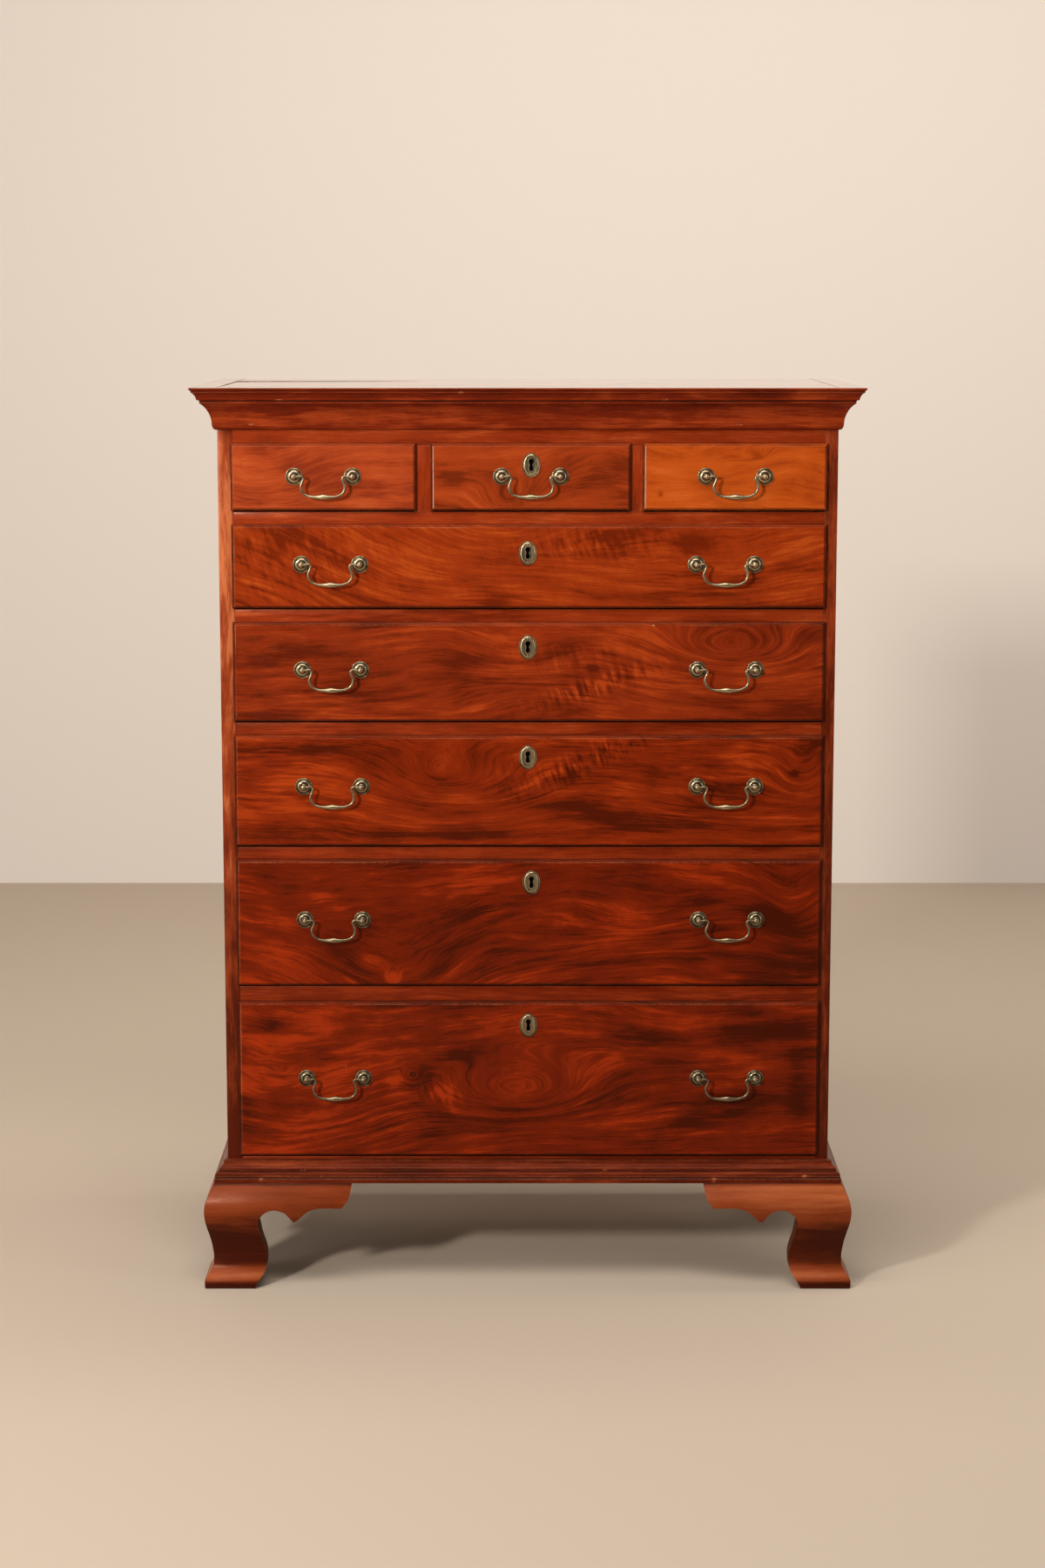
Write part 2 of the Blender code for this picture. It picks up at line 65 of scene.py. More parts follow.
# Room. A plain pale floor runs back to a plain wall, which the polished top mirrors. The main lamp stands a
# little left of the camera, a wide one hangs overhead, tall ones stand to the left and right, and the room is
# dim behind the camera. The wall is clear from its back, so that the chest can be looked at from there.
WALL = (0.88, 0.78, 0.685)
FLOOR = (0.56, 0.46, 0.36)
FLOOR_BOUNCE = (0.20, 0.13, 0.08)
DIM_ROOM = (0.09, 0.08, 0.07)
BEHIND_CAMERA = (0.05, 0.04, 0.035)
# The mirrored room grows from dim to pale between these shares of the way forward
DIM_UNTIL = -0.75
PALE_FROM = 0.1
WALL_AT = 3.14
WALL_HEIGHT = 6.0
FLOOR_REACH = 14.0
CHEST_MIDDLE = (0, 0, 0.75)
LAMP_COLOUR = (1.0, 0.97, 0.93)
# Where each lamp hangs, where it points, its width and height, and its watts
LAMPS = {
    "lamp_main": ((-2.7, -4.0, 2.4), CHEST_MIDDLE, 0.45, 0.45, 160),
    "lamp_over": ((-0.4, -1.9, 3.8), CHEST_MIDDLE, 3.0, 1.4, 84),
    "lamp_left": ((-3.6, -1.8, 1.3), CHEST_MIDDLE, 1.2, 2.6, 36),
    "lamp_right": ((3.6, -2.2, 1.6), CHEST_MIDDLE, 1.0, 2.2, 24),
    "lamp_wall": ((1.3, 0.2, 3.0), (1.5, WALL_AT, -0.2), 4.0, 0.8, 54),
}


class Signal:
    """What a node puts out. Arithmetic on it adds Math nodes to its tree."""

    def __init__(self, socket):
        self.socket = socket
        self.tree = socket.id_data

    def math(self, operation, other=0.0):
        return signal(self.tree, "ShaderNodeMath", {0: self, 1: other}, operation=operation)

    def __add__(self, other):
        return self.math("ADD", other)

    def __sub__(self, other):
        return self.math("SUBTRACT", other)

    def __mul__(self, other):
        return self.math("MULTIPLY", other)


def feed(socket, value):
    """Gives an input socket a number or colour, or links a signal to it."""
    if isinstance(value, Signal):
        value.tree.links.new(value.socket, socket)
    elif socket.type == "RGBA" and len(value) == 3:
        socket.default_value = (*value, 1.0)
    else:
        socket.default_value = value


def put(tree, kind, inputs=None, **settings):
    """Adds a node with its settings and inputs."""
    node = tree.nodes.new(kind)
    for name, value in settings.items():
        setattr(node, name, value)
    return wired(node, inputs or {})


def wired(node, inputs):
    for name, value in inputs.items():
        feed(node.inputs[name], value)
    return node


def signal(tree, kind, inputs=None, output=0, **settings):
    """Adds a node and gives one of its outputs."""
    return Signal(put(tree, kind, inputs, **settings).outputs[output])


def blend(share, first, second):
    """Two colours mixed by a share."""
    return signal(share.tree, "ShaderNodeMix", {0: share, 6: first, 7: second}, output=2, data_type="RGBA")


def split(at):
    """The three coordinates of a vector."""
    return [Signal(output) for output in put(at.tree, "ShaderNodeSeparateXYZ", {0: at}).outputs]


def new_finish(name):
    """A new material, its node tree and its shader."""
    finish = bpy.data.materials.new(name)
    finish.use_nodes = True
    return finish, finish.node_tree, finish.node_tree.nodes["Principled BSDF"]


def stage_sheet(name, corners, colour, bounce, see_through=False):
    """One flat sheet of the room. It may light the chest with another colour than it shows."""
    finish, tree, shader = new_finish(f"pale_{name}")
    bounced = signal(tree, "ShaderNodeLightPath", output="Is Diffuse Ray")
    wired(shader, {"Base Color": blend(bounced, colour, bounce), "Roughness": 0.8, "Specular IOR Level": 0.1})
    if see_through:
        clear = signal(tree, "ShaderNodeBsdfTransparent")
        back = signal(tree, "ShaderNodeNewGeometry", output="Backfacing")
        both = signal(tree, "ShaderNodeMixShader", {0: back, 1: Signal(shader.outputs[0]), 2: clear})
        feed(tree.nodes["Material Output"].inputs["Surface"], both)
    mesh = bpy.data.meshes.new(name)
    mesh.from_pydata(corners, [], [(0, 1, 2, 3)])
    mesh.materials.append(finish)
    place(name, mesh)


reach = FLOOR_REACH
floor_corners = [(-reach, -reach, 0), (reach, -reach, 0), (reach, reach, 0), (-reach, reach, 0)]
wall_line = ((-reach, 0), (reach, 0), (reach, WALL_HEIGHT), (-reach, WALL_HEIGHT))
stage_sheet("floor", floor_corners, FLOOR, FLOOR_BOUNCE)
stage_sheet("wall", [(x, WALL_AT, z) for x, z in wall_line], WALL, WALL, see_through=True)

for lamp_name, (lamp_at, lamp_aim, lamp_width, lamp_height, lamp_power) in LAMPS.items():
    lamp = place(lamp_name, bpy.data.lights.new(lamp_name, "AREA"))
    lamp.data.shape = "RECTANGLE"
    lamp.data.size = lamp_width
    lamp.data.size_y = lamp_height
    lamp.data.energy = lamp_power
    lamp.data.color = LAMP_COLOUR
    lamp.location = lamp_at
    lamp.rotation_euler = (Vector(lamp_aim) - lamp.location).to_track_quat("-Z", "Y").to_euler()

world = bpy.data.worlds.new("room")
bpy.context.scene.world = world
world.use_nodes = True
sky = world.node_tree
sky.nodes.clear()
forward = split(signal(sky, "ShaderNodeTexCoord", output="Generated"))[1]
pale = signal(sky, "ShaderNodeMapRange", {"Value": forward, "From Min": DIM_UNTIL, "From Max": PALE_FROM})
path = {output.name: Signal(output) for output in put(sky, "ShaderNodeLightPath").outputs}
mirrored = path["Is Glossy Ray"].math("MAXIMUM", path["Is Transmission Ray"])
seen = blend(mirrored, DIM_ROOM, blend(pale, BEHIND_CAMERA, WALL))
shown = blend(path["Is Camera Ray"], seen, WALL)
background = signal(sky, "ShaderNodeBackground", {"Color": shown, "Strength": 1.0})
put(sky, "ShaderNodeOutputWorld", {"Surface": background})

# Case: two wide sides whose front edges show as stiles, and five rails and two partitions housed in them. All
# are red mahogany under old shellac, planed by hand, with their arrises rubbed a little round.
SEAT = 0.0003
HALF_CASE = 0.467
CASE_FRONT = -0.229
CASE_BACK = 0.2675
CASE_TOP = 1.3916
RAILS = 5
ARRIS = 0.0006
SHELLAC = 0.30
SHELLAC_TINT = (1.0, 0.45, 0.25)
# Paler wood for rubbed arrises and for painted highlights
WORN_AND_HIGHLIGHT_WOOD = (0.42, 0.125, 0.045)
BARE_WOOD = (0.60, 0.36, 0.22)
OPEN_PORE = (0.05, 0.006, 0.001)
# Near black for old dirt and for painted shade
DIRT_AND_SHADE = (0.018, 0.006, 0.003)
# What each point carries: wear and painted highlight, dirt and painted shade, and polish
EDGE_MARKS = ("worn_and_highlight", "grime_and_shade", "polish")
# Each grain direction's order of axes: along the grain, then across it
GRAIN = {"X": "XYZ", "Y": "YXZ", "Z": "ZXY"}
RAIL_RED = ((0.150, 0.0130, 0.0022), (0.275, 0.0300, 0.0050), (0.430, 0.0700, 0.0150))
SIDE_RED = ((0.110, 0.0115, 0.0026), (0.225, 0.0270, 0.0060), (0.380, 0.0620, 0.0150))
# The stiles' bright red is paler than the sides': a painted sheen on the boards' front edges
STILE_SHEEN_RED = ((0.090, 0.0100, 0.0026), (0.270, 0.0390, 0.0095), (0.500, 0.1300, 0.0430))
# Painted shade darkens the rails towards the bottom of the case; they also darken in a band at mid-height
RAIL_PAINTED_SHADE = ((0.0, 0.40, 50.0, 0.42, 0, 0.22), (0.0, 0.85, 50.0, 0.06, 0, 0.08))
# Painted light and shade on the stiles: a painted sheen high on the left one, a painted shadow under the
# cornice on the left one, painted shade on the right one, and both darker towards the bottom as painted
# shade: height, depth, reach up and across, turn, strength
STILE_SHEEN_AND_SHADE = {
    "left": (
        (1.10, -0.229, 0.22, 0.05, 0, -0.12), (1.345, -0.229, 0.04, 0.05, 0, 0.18),
        (0.35, -0.229, 0.42, 0.4, 0, 0.30),
    ),
    "right": ((1.0, -0.229, 0.30, 0.05, 0, 0.18), (0.35, -0.229, 0.40, 0.4, 0, 0.28)),
}


def vector(operation, first, second, output=0):
    """What a Vector Math node gives."""
    return signal(first.tree, "ShaderNodeVectorMath", {0: first, 1: second}, output, operation=operation)


def combined(tree, x, y, z):
    return signal(tree, "ShaderNodeCombineXYZ", {0: x, 1: y, 2: z})


def remap(value, low, high, to_low=0.0, to_high=1.0):
    """Carries one range of a value over to another, easing in and out, and holds it there."""
    limits = {"Value": value, "From Min": low, "From Max": high, "To Min": to_low, "To Max": to_high}
    return signal(value.tree, "ShaderNodeMapRange", limits, interpolation_type="SMOOTHSTEP")


def cloudy(at, scale, detail=2.0, roughness=0.5):
    """Noise from 0 to 1, with its own scale along each axis."""
    stretched = vector("MULTIPLY", at, scale)
    looks = {"Vector": stretched, "Scale": 1.0, "Detail": detail, "Roughness": roughness}
    return signal(at.tree, "ShaderNodeTexNoise", looks)


def group(name, inputs, outputs, kind="ShaderNodeTree"):
    """An empty node group with named sockets: its tree, what it is given, and where its results go."""
    tree = bpy.data.node_groups.new(name, kind)
    for in_out, sockets in (("INPUT", inputs), ("OUTPUT", outputs)):
        for label, socket_kind in sockets.items():
            tree.interface.new_socket(label, in_out=in_out, socket_type=f"NodeSocket{socket_kind}")
    given = {socket.name: Signal(socket) for socket in tree.nodes.new("NodeGroupInput").outputs}
    return tree, given, tree.nodes.new("NodeGroupOutput").inputs


def use(tree, group_tree, inputs):
    """Places a node group, and gives its outputs by name."""
    node = tree.nodes.new("ShaderNodeGroup")
    node.node_tree = group_tree
    return {output.name: Signal(output) for output in wired(node, inputs).outputs}


# The growth rings that a cut goes through, as a height in metres: level along the grain, drifting to and fro
rings_group, given, result = group("growth_rings", {"Vector": "Vector", "Drift": "Float"}, {"Rings": "Float"})
level = vector("DOT_PRODUCT", given["Vector"], (0.0, 0.45, 1.0), output="Value")
wide = cloudy(given["Vector"], (2.4, 3.0, 5.0), 1.0) - 0.5
close = cloudy(given["Vector"], (8.0, 10.0, 19.0)) - 0.5
feed(result["Rings"], (close * 0.30 + wide) * given["Drift"] + level)

# One swirl: a bell-shaped rise about a centre, turned in the plane of a board's face
swirl_group, given, result = group(
    "swirl", {"Vector": "Vector", "Centre": "Vector", "Reach": "Vector", "Turn": "Float", "Lift": "Float"},
    {"Rise": "Float"},
)
away = vector("SUBTRACT", given["Vector"], given["Centre"])
turned_away = {"Vector": away, "Angle": given["Turn"]}
away = signal(swirl_group, "ShaderNodeVectorRotate", turned_away, rotation_type="Y_AXIS")
away = vector("DIVIDE", away, given["Reach"])
bell = (vector("DOT_PRODUCT", away, away, output="Value") * -1.0).math("EXPONENT")
feed(result["Rise"], bell * given["Lift"])

# Mahogany: bands, streaks and hair lines that follow the rings, smoky clouds, ripples across, and open pores
figure_group, given, result = group(
    "mahogany_figure",
    {
        "Vector": "Vector", "Rings": "Float", "Dark": "Color", "Middle": "Color", "Bright": "Color",
        "Contrast": "Float", "Clouds": "Float", "Ripple": "Float", "Smoke and Shade": "Float",
    },
    {"Color": "Color", "Gloss": "Float", "Height": "Float"},
)
x, y, z = split(given["Vector"])
on_rings = combined(figure_group, x, y, given["Rings"])
bands = cloudy(on_rings, (5.0, 20.0, 32.0)) - 0.5
streaks = cloudy(on_rings, (10.0, 60.0, 125.0), 3.0, 0.6) - 0.5
hairs = cloudy(on_rings, (26.0, 300.0, 560.0), 3.0, 0.65) - 0.5
pores = remap(cloudy(on_rings, (95.0, 1500.0, 2300.0), 1.0), 0.56, 0.68)
fade = remap(cloudy(given["Vector"], (6.0, 9.0, 12.0)), 0.35, 0.65, 0.35, 1.25)
near_rings = combined(figure_group, x, y, (given["Rings"] - z) * 0.75 + z)
smoky = remap(cloudy(near_rings, (5.5, 9.0, 24.0), 4.0, 0.6), 0.48, 0.74)
mottle = cloudy(near_rings, (13.0, 16.0, 22.0), 4.0, 0.62) - 0.5
waves = cloudy(combined(figure_group, z * 0.35 + x, y, z), (135.0, 60.0, 34.0)) - 0.5
shade = bands * 0.95 + mottle * 0.75 + streaks * fade * 1.30 + hairs * 0.75
shade = shade * given["Contrast"] + waves * given["Ripple"] - smoky * given["Clouds"] - given["Smoke and Shade"]
colour = blend(remap(shade, -0.40, 0.03), given["Dark"], given["Middle"])
colour = blend(remap(shade, -0.02, 0.36), colour, given["Bright"])
feed(result["Color"], blend(pores * 0.20, colour, OPEN_PORE))
feed(result["Gloss"], cloudy(given["Vector"], (9.0, 9.0, 16.0), 3.0, 0.6))
feed(result["Height"], hairs * 0.5 - pores * 0.35 + streaks * 0.35)

# Wear, dirt and painted light: rubbed arrises show paler wood in broken patches, and so do the painted
# highlights;
# hollows hold old dirt, painted shade darkens the same way, and a few small knocks and scratches have gone
# through the polish
wear_and_light_group, given, result = group(
    "wear_dirt_and_painted_light", {"Vector": "Vector", "Color": "Color", "Worn and Highlight": "Float", "Grime and Shade": "Float"},
    {"Color": "Color", "Roughness": "Float"},
)
broken = cloudy(given["Vector"], (210.0, 210.0, 210.0), 3.0, 0.7)
patchy = cloudy(given["Vector"], (14.0, 14.0, 14.0))
rubbed_and_highlight = remap(broken * 0.6 + patchy * 0.55, 0.46, 0.76) * given["Worn and Highlight"]
dirt_and_shade = remap(broken, 0.25, 0.55, 0.55, 1.0) * given["Grime and Shade"]
cells = {"Vector": vector("MULTIPLY", given["Vector"], (17.0, 30.0, 30.0)), "Scale": 1.0}
knocks = put(wear_and_light_group, "ShaderNodeTexVoronoi", cells).outputs
chosen, sized, _ = split(Signal(knocks["Color"]))
size = chosen.math("GREATER_THAN", 0.82) * sized * 0.050
knock = Signal(knocks["Distance"]).math("LESS_THAN", size)
colour = blend(knock * 0.75, blend(rubbed_and_highlight, given["Color"], WORN_AND_HIGHLIGHT_WOOD), BARE_WOOD)
feed(result["Color"], blend(dirt_and_shade, colour, DIRT_AND_SHADE))
feed(result["Roughness"], rubbed_and_highlight * 0.12 + dirt_and_shade * 0.3)


def along_grain(tree, order, seed):
    """A point of the wood, with the axis along its grain first, and the same point shifted by a seed."""
    axes = dict(zip("XYZ", split(signal(tree, "ShaderNodeTexCoord", output="Object"))))
    point = combined(tree, *(axes[axis] for axis in order))
    return point, vector("ADD", point, (1.37 * seed, 0.71 * seed, 0.53 * seed))


def marked(tree, label):
    """How much wear and painted highlight, dirt and painted shade, and polish a point of the mesh carries."""
    return signal(tree, "ShaderNodeAttribute", output="Fac", attribute_name=label)


def bumped(height, strength, distance):
    relief = {"Strength": strength, "Distance": distance, "Height": height}
    return signal(height.tree, "ShaderNodeBump", relief)


def mahogany(
    name, reds, grain="X", drift=0.05, contrast=1.0, clouds=0.25, ripple=0.0, swirls=(), smokes=(),
    ripples=(), roughness=SHELLAC, gloss=0.08, coat=0.14, relief=0.35, worn_and_highlight=0.0, seed=0.0,
):
    """A mahogany finish whose grain runs along an axis.

    reds are its dark, middle and bright colours. Swirls, smokes and ripples are lists of
    (x, z, reach along, reach across, turn in degrees, strength), in metres. smokes darkens the
    wood, and lightens it where its strength is negative, both for smoky figure and for painted light and
    shade.
    """
    finish, tree, shader = new_finish(name)
    point, shifted = along_grain(tree, GRAIN[grain], seed)

    def placed(places, base):
        """A value with a bell-shaped rise at each place."""
        for x, z, reach_x, reach_z, turn, strength in places:
            base = use(tree, swirl_group, {
                "Vector": point, "Centre": (x, 0, z), "Reach": (reach_x, 100.0, reach_z),
                "Turn": math.radians(turn), "Lift": strength,
            })["Rise"] + base
        return base

    wood = use(tree, figure_group, {
        "Vector": shifted, "Dark": reds[0], "Middle": reds[1], "Bright": reds[2], "Contrast": contrast,
        "Rings": placed(swirls, use(tree, rings_group, {"Vector": shifted, "Drift": drift})["Rings"]),
        "Clouds": clouds, "Ripple": placed(ripples, ripple), "Smoke and Shade": placed(smokes, 0.0),
    })
    rubbed_and_highlight, grime_and_shade, polish = (marked(tree, label) for label in EDGE_MARKS)
    wear_and_light = use(tree, wear_and_light_group, {
        "Vector": shifted, "Color": wood["Color"], "Worn and Highlight": rubbed_and_highlight + worn_and_highlight, "Grime and Shade": grime_and_shade,
    })
    polish = polish * remap(wood["Gloss"], 0.40, 0.62, 0.25, 1.0) + gloss
    wired(shader, {
        "Base Color": wear_and_light["Color"],
        "Roughness": wood["Gloss"] * 0.16 + (roughness - 0.08) + wear_and_light["Roughness"],
        "Specular IOR Level": 0.16, "Specular Tint": SHELLAC_TINT,
        "Coat Weight": polish * (grime_and_shade * -1.0 + 1.0), "Coat Roughness": coat,
        "Normal": bumped(wood["Height"], relief, 0.0005),
    })
    return finish


def face_and_arris(name, reds, worn_and_highlight, **look):
    """A board's two finishes: one for its faces and one for its rubbed arrises."""
    return mahogany(name, reds, **look), mahogany(f"{name}_arris", reds, worn_and_highlight=worn_and_highlight, **look)


def smoothed(mesh, angle=32):
    mesh.shade_smooth()
    mesh.set_sharp_from_angle(angle=math.radians(angle))
    return mesh


def part(name, mesh, body, slot, finishes, *nodes):
    """A finished piece of the chest: its mesh, the body it moves with, and the plain solids it stands for."""
    for i, finish in enumerate(finishes):
        if i < len(mesh.materials):
            mesh.materials[i] = finish
        else:
            mesh.materials.append(finish)
    piece = place(name, mesh)
    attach(piece, body)
    if nodes:
        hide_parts(*nodes)


def rubbed_round(bm, mesh, arris, sharp):
    """Rounds the arrises sharper than an angle, and keeps the result. The strips take the second finish."""
    arrises = [edge for edge in bm.edges if len(edge.link_faces) == 2 and edge.calc_face_angle() > sharp]
    bmesh.ops.bevel(
        bm, geom=arrises, offset=arris, segments=2, profile=0.5, affect="EDGES", clamp_overlap=True,
        material=1,
    )
    bm.to_mesh(mesh)
    bm.free()
    return smoothed(mesh)


def eased(node, arris=ARRIS):
    """A board's own solid with its arrises rubbed round."""
    bm = bmesh.new()
    bm.from_mesh(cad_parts[node].data)
    bmesh.ops.remove_doubles(bm, verts=bm.verts, dist=1e-6)
    bmesh.ops.dissolve_limit(bm, angle_limit=math.radians(1), verts=bm.verts, edges=bm.edges)
    for face in bm.faces:
        face.material_index = 0
    return rubbed_round(bm, bpy.data.meshes.new(node), arris, sharp=0.6)


rail_woods = face_and_arris(
    "rail_mahogany", RAIL_RED, 0.6, drift=0.03, clouds=0.15, contrast=0.8, smokes=RAIL_PAINTED_SHADE, seed=2,
)
for side, shades in STILE_SHEEN_AND_SHADE.items():
    woods = [
        mahogany(
            f"{side}_{name}", reds, grain="Z", drift=0.04, clouds=0.10, contrast=contrast, smokes=shades,
            worn_and_highlight=worn_and_highlight, seed=1,
        )
        for name, reds, contrast, worn_and_highlight in (
            ("side_mahogany", SIDE_RED, 0.75, 0.0),
            ("side_arris", STILE_SHEEN_RED, 0.85, 0.4),
            ("stile_sheen_mahogany", STILE_SHEEN_RED, 0.85, 0.0),
        )
    ]
    board = eased(f"{side}_side")
    # The board's front edge, its stile, takes the paler finish with the painted sheen
    for polygon in board.polygons:
        if polygon.normal.y < -0.9:
            polygon.material_index = 2
    part(f"case_side_{side}", board, "case", "mahogany", woods, f"{side}_side")
    divider_woods = face_and_arris(
        f"{side}_divider_mahogany", RAIL_RED, 0.8, grain="Z", drift=0.05, clouds=0.15, contrast=0.8, seed=11,
    )
    node = f"partition_{side}"
    part(f"divider_{side}", eased(node), "case", "mahogany", divider_woods, node)
for row in range(1, RAILS + 1):
    part(f"drawer_rail_{row}", eased(f"rail_{row}"), "case", "mahogany", rail_woods, f"rail_{row}")
part("frieze_rail", eased("top_rail"), "case", "mahogany", rail_woods, "top_rail")

# Top board: one wide mahogany board let in flush behind the cornice. It has shrunk and cracked along the
# grain from its left end, and is darker in the crack and along the dropped edge beside it.
TOP_BOARD = 0.020
TOP_WAVE = 0.0003
CRACK_AT = 0.118
CRACK_LENGTH = 0.30
CRACK_WIDTH = 0.0013
CRACK_DEPTH = 0.0045
CRACK_WANDER = 0.0016
CRACK_STEP = 0.0008
CRACK_DARK_REACH = 0.0025
# The top's grid has these steps along and across, and a finer one across this near to the crack
TOP_STEPS = (0.008, 0.02)
NEAR_CRACK = 0.003
FINE_STEP = 0.0003
TOP_RED = ((0.130, 0.0130, 0.0030), (0.245, 0.0330, 0.0080), (0.380, 0.0750, 0.0200))


def plate(us, vs, face, rings, at, marks, fold=0):
    """A closed panel. Its face is a grid of heights over us and vs, and each ring carries its outline back.

    fold is how many cells in from each corner are split along the corner's own diagonal, as a mitre needs.
    """
    columns, rows = len(us), len(vs)
    verts = [at(u, v, face(u, v)) for v in vs for u in us]
    values = [marks(u, v) for v in vs for u in us]
    faces = []
    for r in range(rows - 1):
        for c in range(columns - 1):
            low, high = r * columns + c, (r + 1) * columns + c
            near_u = c < fold or c >= columns - 1 - fold
            near_v = r < fold or r >= rows - 1 - fold
            if near_u and near_v and (c < fold) == (r < fold):
                faces += [(low, low + 1, high + 1), (low, high + 1, high)]
            elif near_u and near_v:
                faces += [(low, low + 1, high), (low + 1, high + 1, high)]
            else:
                faces.append((low, low + 1, high + 1, high))
    edge = [(c, 0) for c in range(columns)] + [(columns - 1, r) for r in range(1, rows)]
    edge += [(c, rows - 1) for c in range(columns - 2, -1, -1)] + [(0, r) for r in range(rows - 2, 0, -1)]
    loop = [r * columns + c for c, r in edge]
    count = len(edge)
    for ring in rings:
        following = list(range(len(verts), len(verts) + count))
        verts += [at(*ring(us[c], vs[r])) for c, r in edge]
        # The ring points carry painted shade, which darkens the panel's sides
        values += [(0.0, 0.9, 0.0)] * count
        faces += zip(loop, following, following[1:] + following[:1], loop[1:] + loop[:1])
        loop = following
    faces.append(tuple(loop))
    return verts, faces, values


def solid(name, verts, faces, values=None, angle=32):
    """A closed mesh from points and faces. values are each point's wear and painted highlight, dirt and
    painted shade, and polish.
    """
    mesh = bpy.data.meshes.new(name)
    mesh.from_pydata(verts, [], faces)
    for label, row in zip(EDGE_MARKS, zip(*values) if values else ()):
        mesh.attributes.new(label, "FLOAT", "POINT").data.foreach_set("value", row)
    bm = bmesh.new()
    bm.from_mesh(mesh)
    bmesh.ops.remove_doubles(bm, verts=bm.verts, dist=1e-6)
    bmesh.ops.recalc_face_normals(bm, faces=bm.faces)
    bm.to_mesh(mesh)
    bm.free()
    return smoothed(mesh, angle)


def spaced(start, end, step):
    """Even places from start to end, about a step apart."""
    count = max(1, round(abs(end - start) / step))
    return [start + (end - start) * i / count for i in range(count + 1)]


def crack(x, y):
    """How open the crack is at a point of the top, from 0 to 1."""
    width = CRACK_WIDTH * max(0.0, 1 - (x + HALF_CASE) / CRACK_LENGTH)
    line = CRACK_AT + CRACK_WANDER * noise.noise(Vector((x * 9, 3.1, 0)))
    return 0.0 if width < 1e-5 else max(0.0, 1 - abs(y - line) / width) * min(1.0, 2.5 * width / CRACK_WIDTH)


def sunk(x):
    """How far the front lip of the crack has dropped, from 0 to 1."""
    return max(0.0, 1 - (x + HALF_CASE) / CRACK_LENGTH) ** 0.5


def top_height(x, y):
    wave = TOP_WAVE * (noise.noise(Vector((x * 3, y * 5, 7))) - 1)
    dished = CRACK_STEP * sunk(x) * max(0.0, (y - CASE_FRONT) / (CRACK_AT - CASE_FRONT))
    return CASE_TOP + wave - CRACK_DEPTH * crack(x, y) - (dished if y < CRACK_AT else 0.0)


def crack_darkening(x, y):
    return min(1.0, 2.0 * crack(x, y) + 1.5 * sunk(x) * max(0.0, 1 - abs(y - CRACK_AT) / CRACK_DARK_REACH))


top_wood = mahogany(
    "top_mahogany", TOP_RED, drift=0.10, clouds=0.3, seed=3, roughness=0.26, gloss=1.0, coat=0.05,
    relief=0.10,
)
top_xs = spaced(-HALF_CASE + SEAT, HALF_CASE - SEAT, TOP_STEPS[0])
top_ys = spaced(CASE_FRONT + SEAT, CRACK_AT - NEAR_CRACK, TOP_STEPS[1])
top_ys += spaced(CRACK_AT - NEAR_CRACK, CRACK_AT + NEAR_CRACK, FINE_STEP)[1:]
top_ys += spaced(CRACK_AT + NEAR_CRACK, CASE_BACK, TOP_STEPS[1])[1:]
top_mesh = solid("top", *plate(
    top_xs, top_ys, top_height, [lambda x, y: (x, y, CASE_TOP - TOP_BOARD)], lambda x, y, z: (x, y, z),
    lambda x, y: (0.0, crack_darkening(x, y), 0.0),
))
part("chest_top", top_mesh, "case", "mahogany", (top_wood,), "top_board")

# Boards that stay out of sight: the bottom and five dustboards that the drawers run on, and two wide boards
# that close the back. They are pine, sawn and left raw, brown with age, and the back is nailed on.
PINE = ((0.190, 0.098, 0.042), (0.330, 0.195, 0.095), (0.430, 0.270, 0.140))
BACK_PINE = ((0.120, 0.066, 0.034), (0.225, 0.135, 0.074), (0.310, 0.195, 0.110))
PINE_GRAIN = {"X": "XYZ", "Y": "YZX", "Z": "ZYX"}
BACK_ARRIS = 0.0012
BACK_NAILS = 9
NAIL_HEAD = 0.0042
NAIL_RISE = 0.0010
# How far in the nails are from a board's ends and from its edges, and how much higher those on the right are
NAIL_INSET = (0.006, 0.035)
NAIL_STAGGER = 0.004
IRON = ((0.16, 0.13, 0.11), (0.055, 0.042, 0.034), (0.02, 0.012, 0.008))

pine_group, given, result = group(
    "pine_board",
    {
        "Vector": "Vector", "Rings": "Float", "Dark": "Color", "Middle": "Color", "Bright": "Color",
        "Saw": "Float",
    },
    {"Color": "Color", "Height": "Float"},
)
x, y, _ = split(given["Vector"])
on_rings = combined(pine_group, x, y, given["Rings"])
late = remap(cloudy(on_rings, (0.5, 3.0, 115.0), 1.0), 0.48, 0.70)
fibres = cloudy(on_rings, (10.0, 200.0, 520.0), 3.0, 0.6)
stain = remap(cloudy(given["Vector"], (3.0, 3.0, 6.5), 4.0, 0.65), 0.45, 0.75, 0.0, 0.75)
colour = blend(remap(fibres, 0.3, 0.7), given["Middle"], given["Bright"])
feed(result["Color"], blend(stain, blend(late * 0.55, colour, given["Dark"]), given["Dark"]))
saw_marks = cloudy(given["Vector"], (330.0, 0.0, 2.0), 1.0)
feed(result["Height"], saw_marks * given["Saw"] + fibres * 0.5)


def pine(name, browns, grain="X", saw=0.5, seed=0.0):
    """Raw pine whose grain runs along an axis, with saw marks across it."""
    finish, tree, shader = new_finish(name)
    _, point = along_grain(tree, PINE_GRAIN[grain], seed)
    wood = use(tree, pine_group, {
        "Vector": point, "Rings": use(tree, rings_group, {"Vector": point, "Drift": 0.045})["Rings"],
        "Dark": browns[0], "Middle": browns[1], "Bright": browns[2], "Saw": saw,
    })
    wired(shader, {
        "Base Color": wood["Color"], "Roughness": 0.72, "Specular IOR Level": 0.25,
        "Normal": bumped(wood["Height"], 0.6, 0.0008),
    })
    return finish


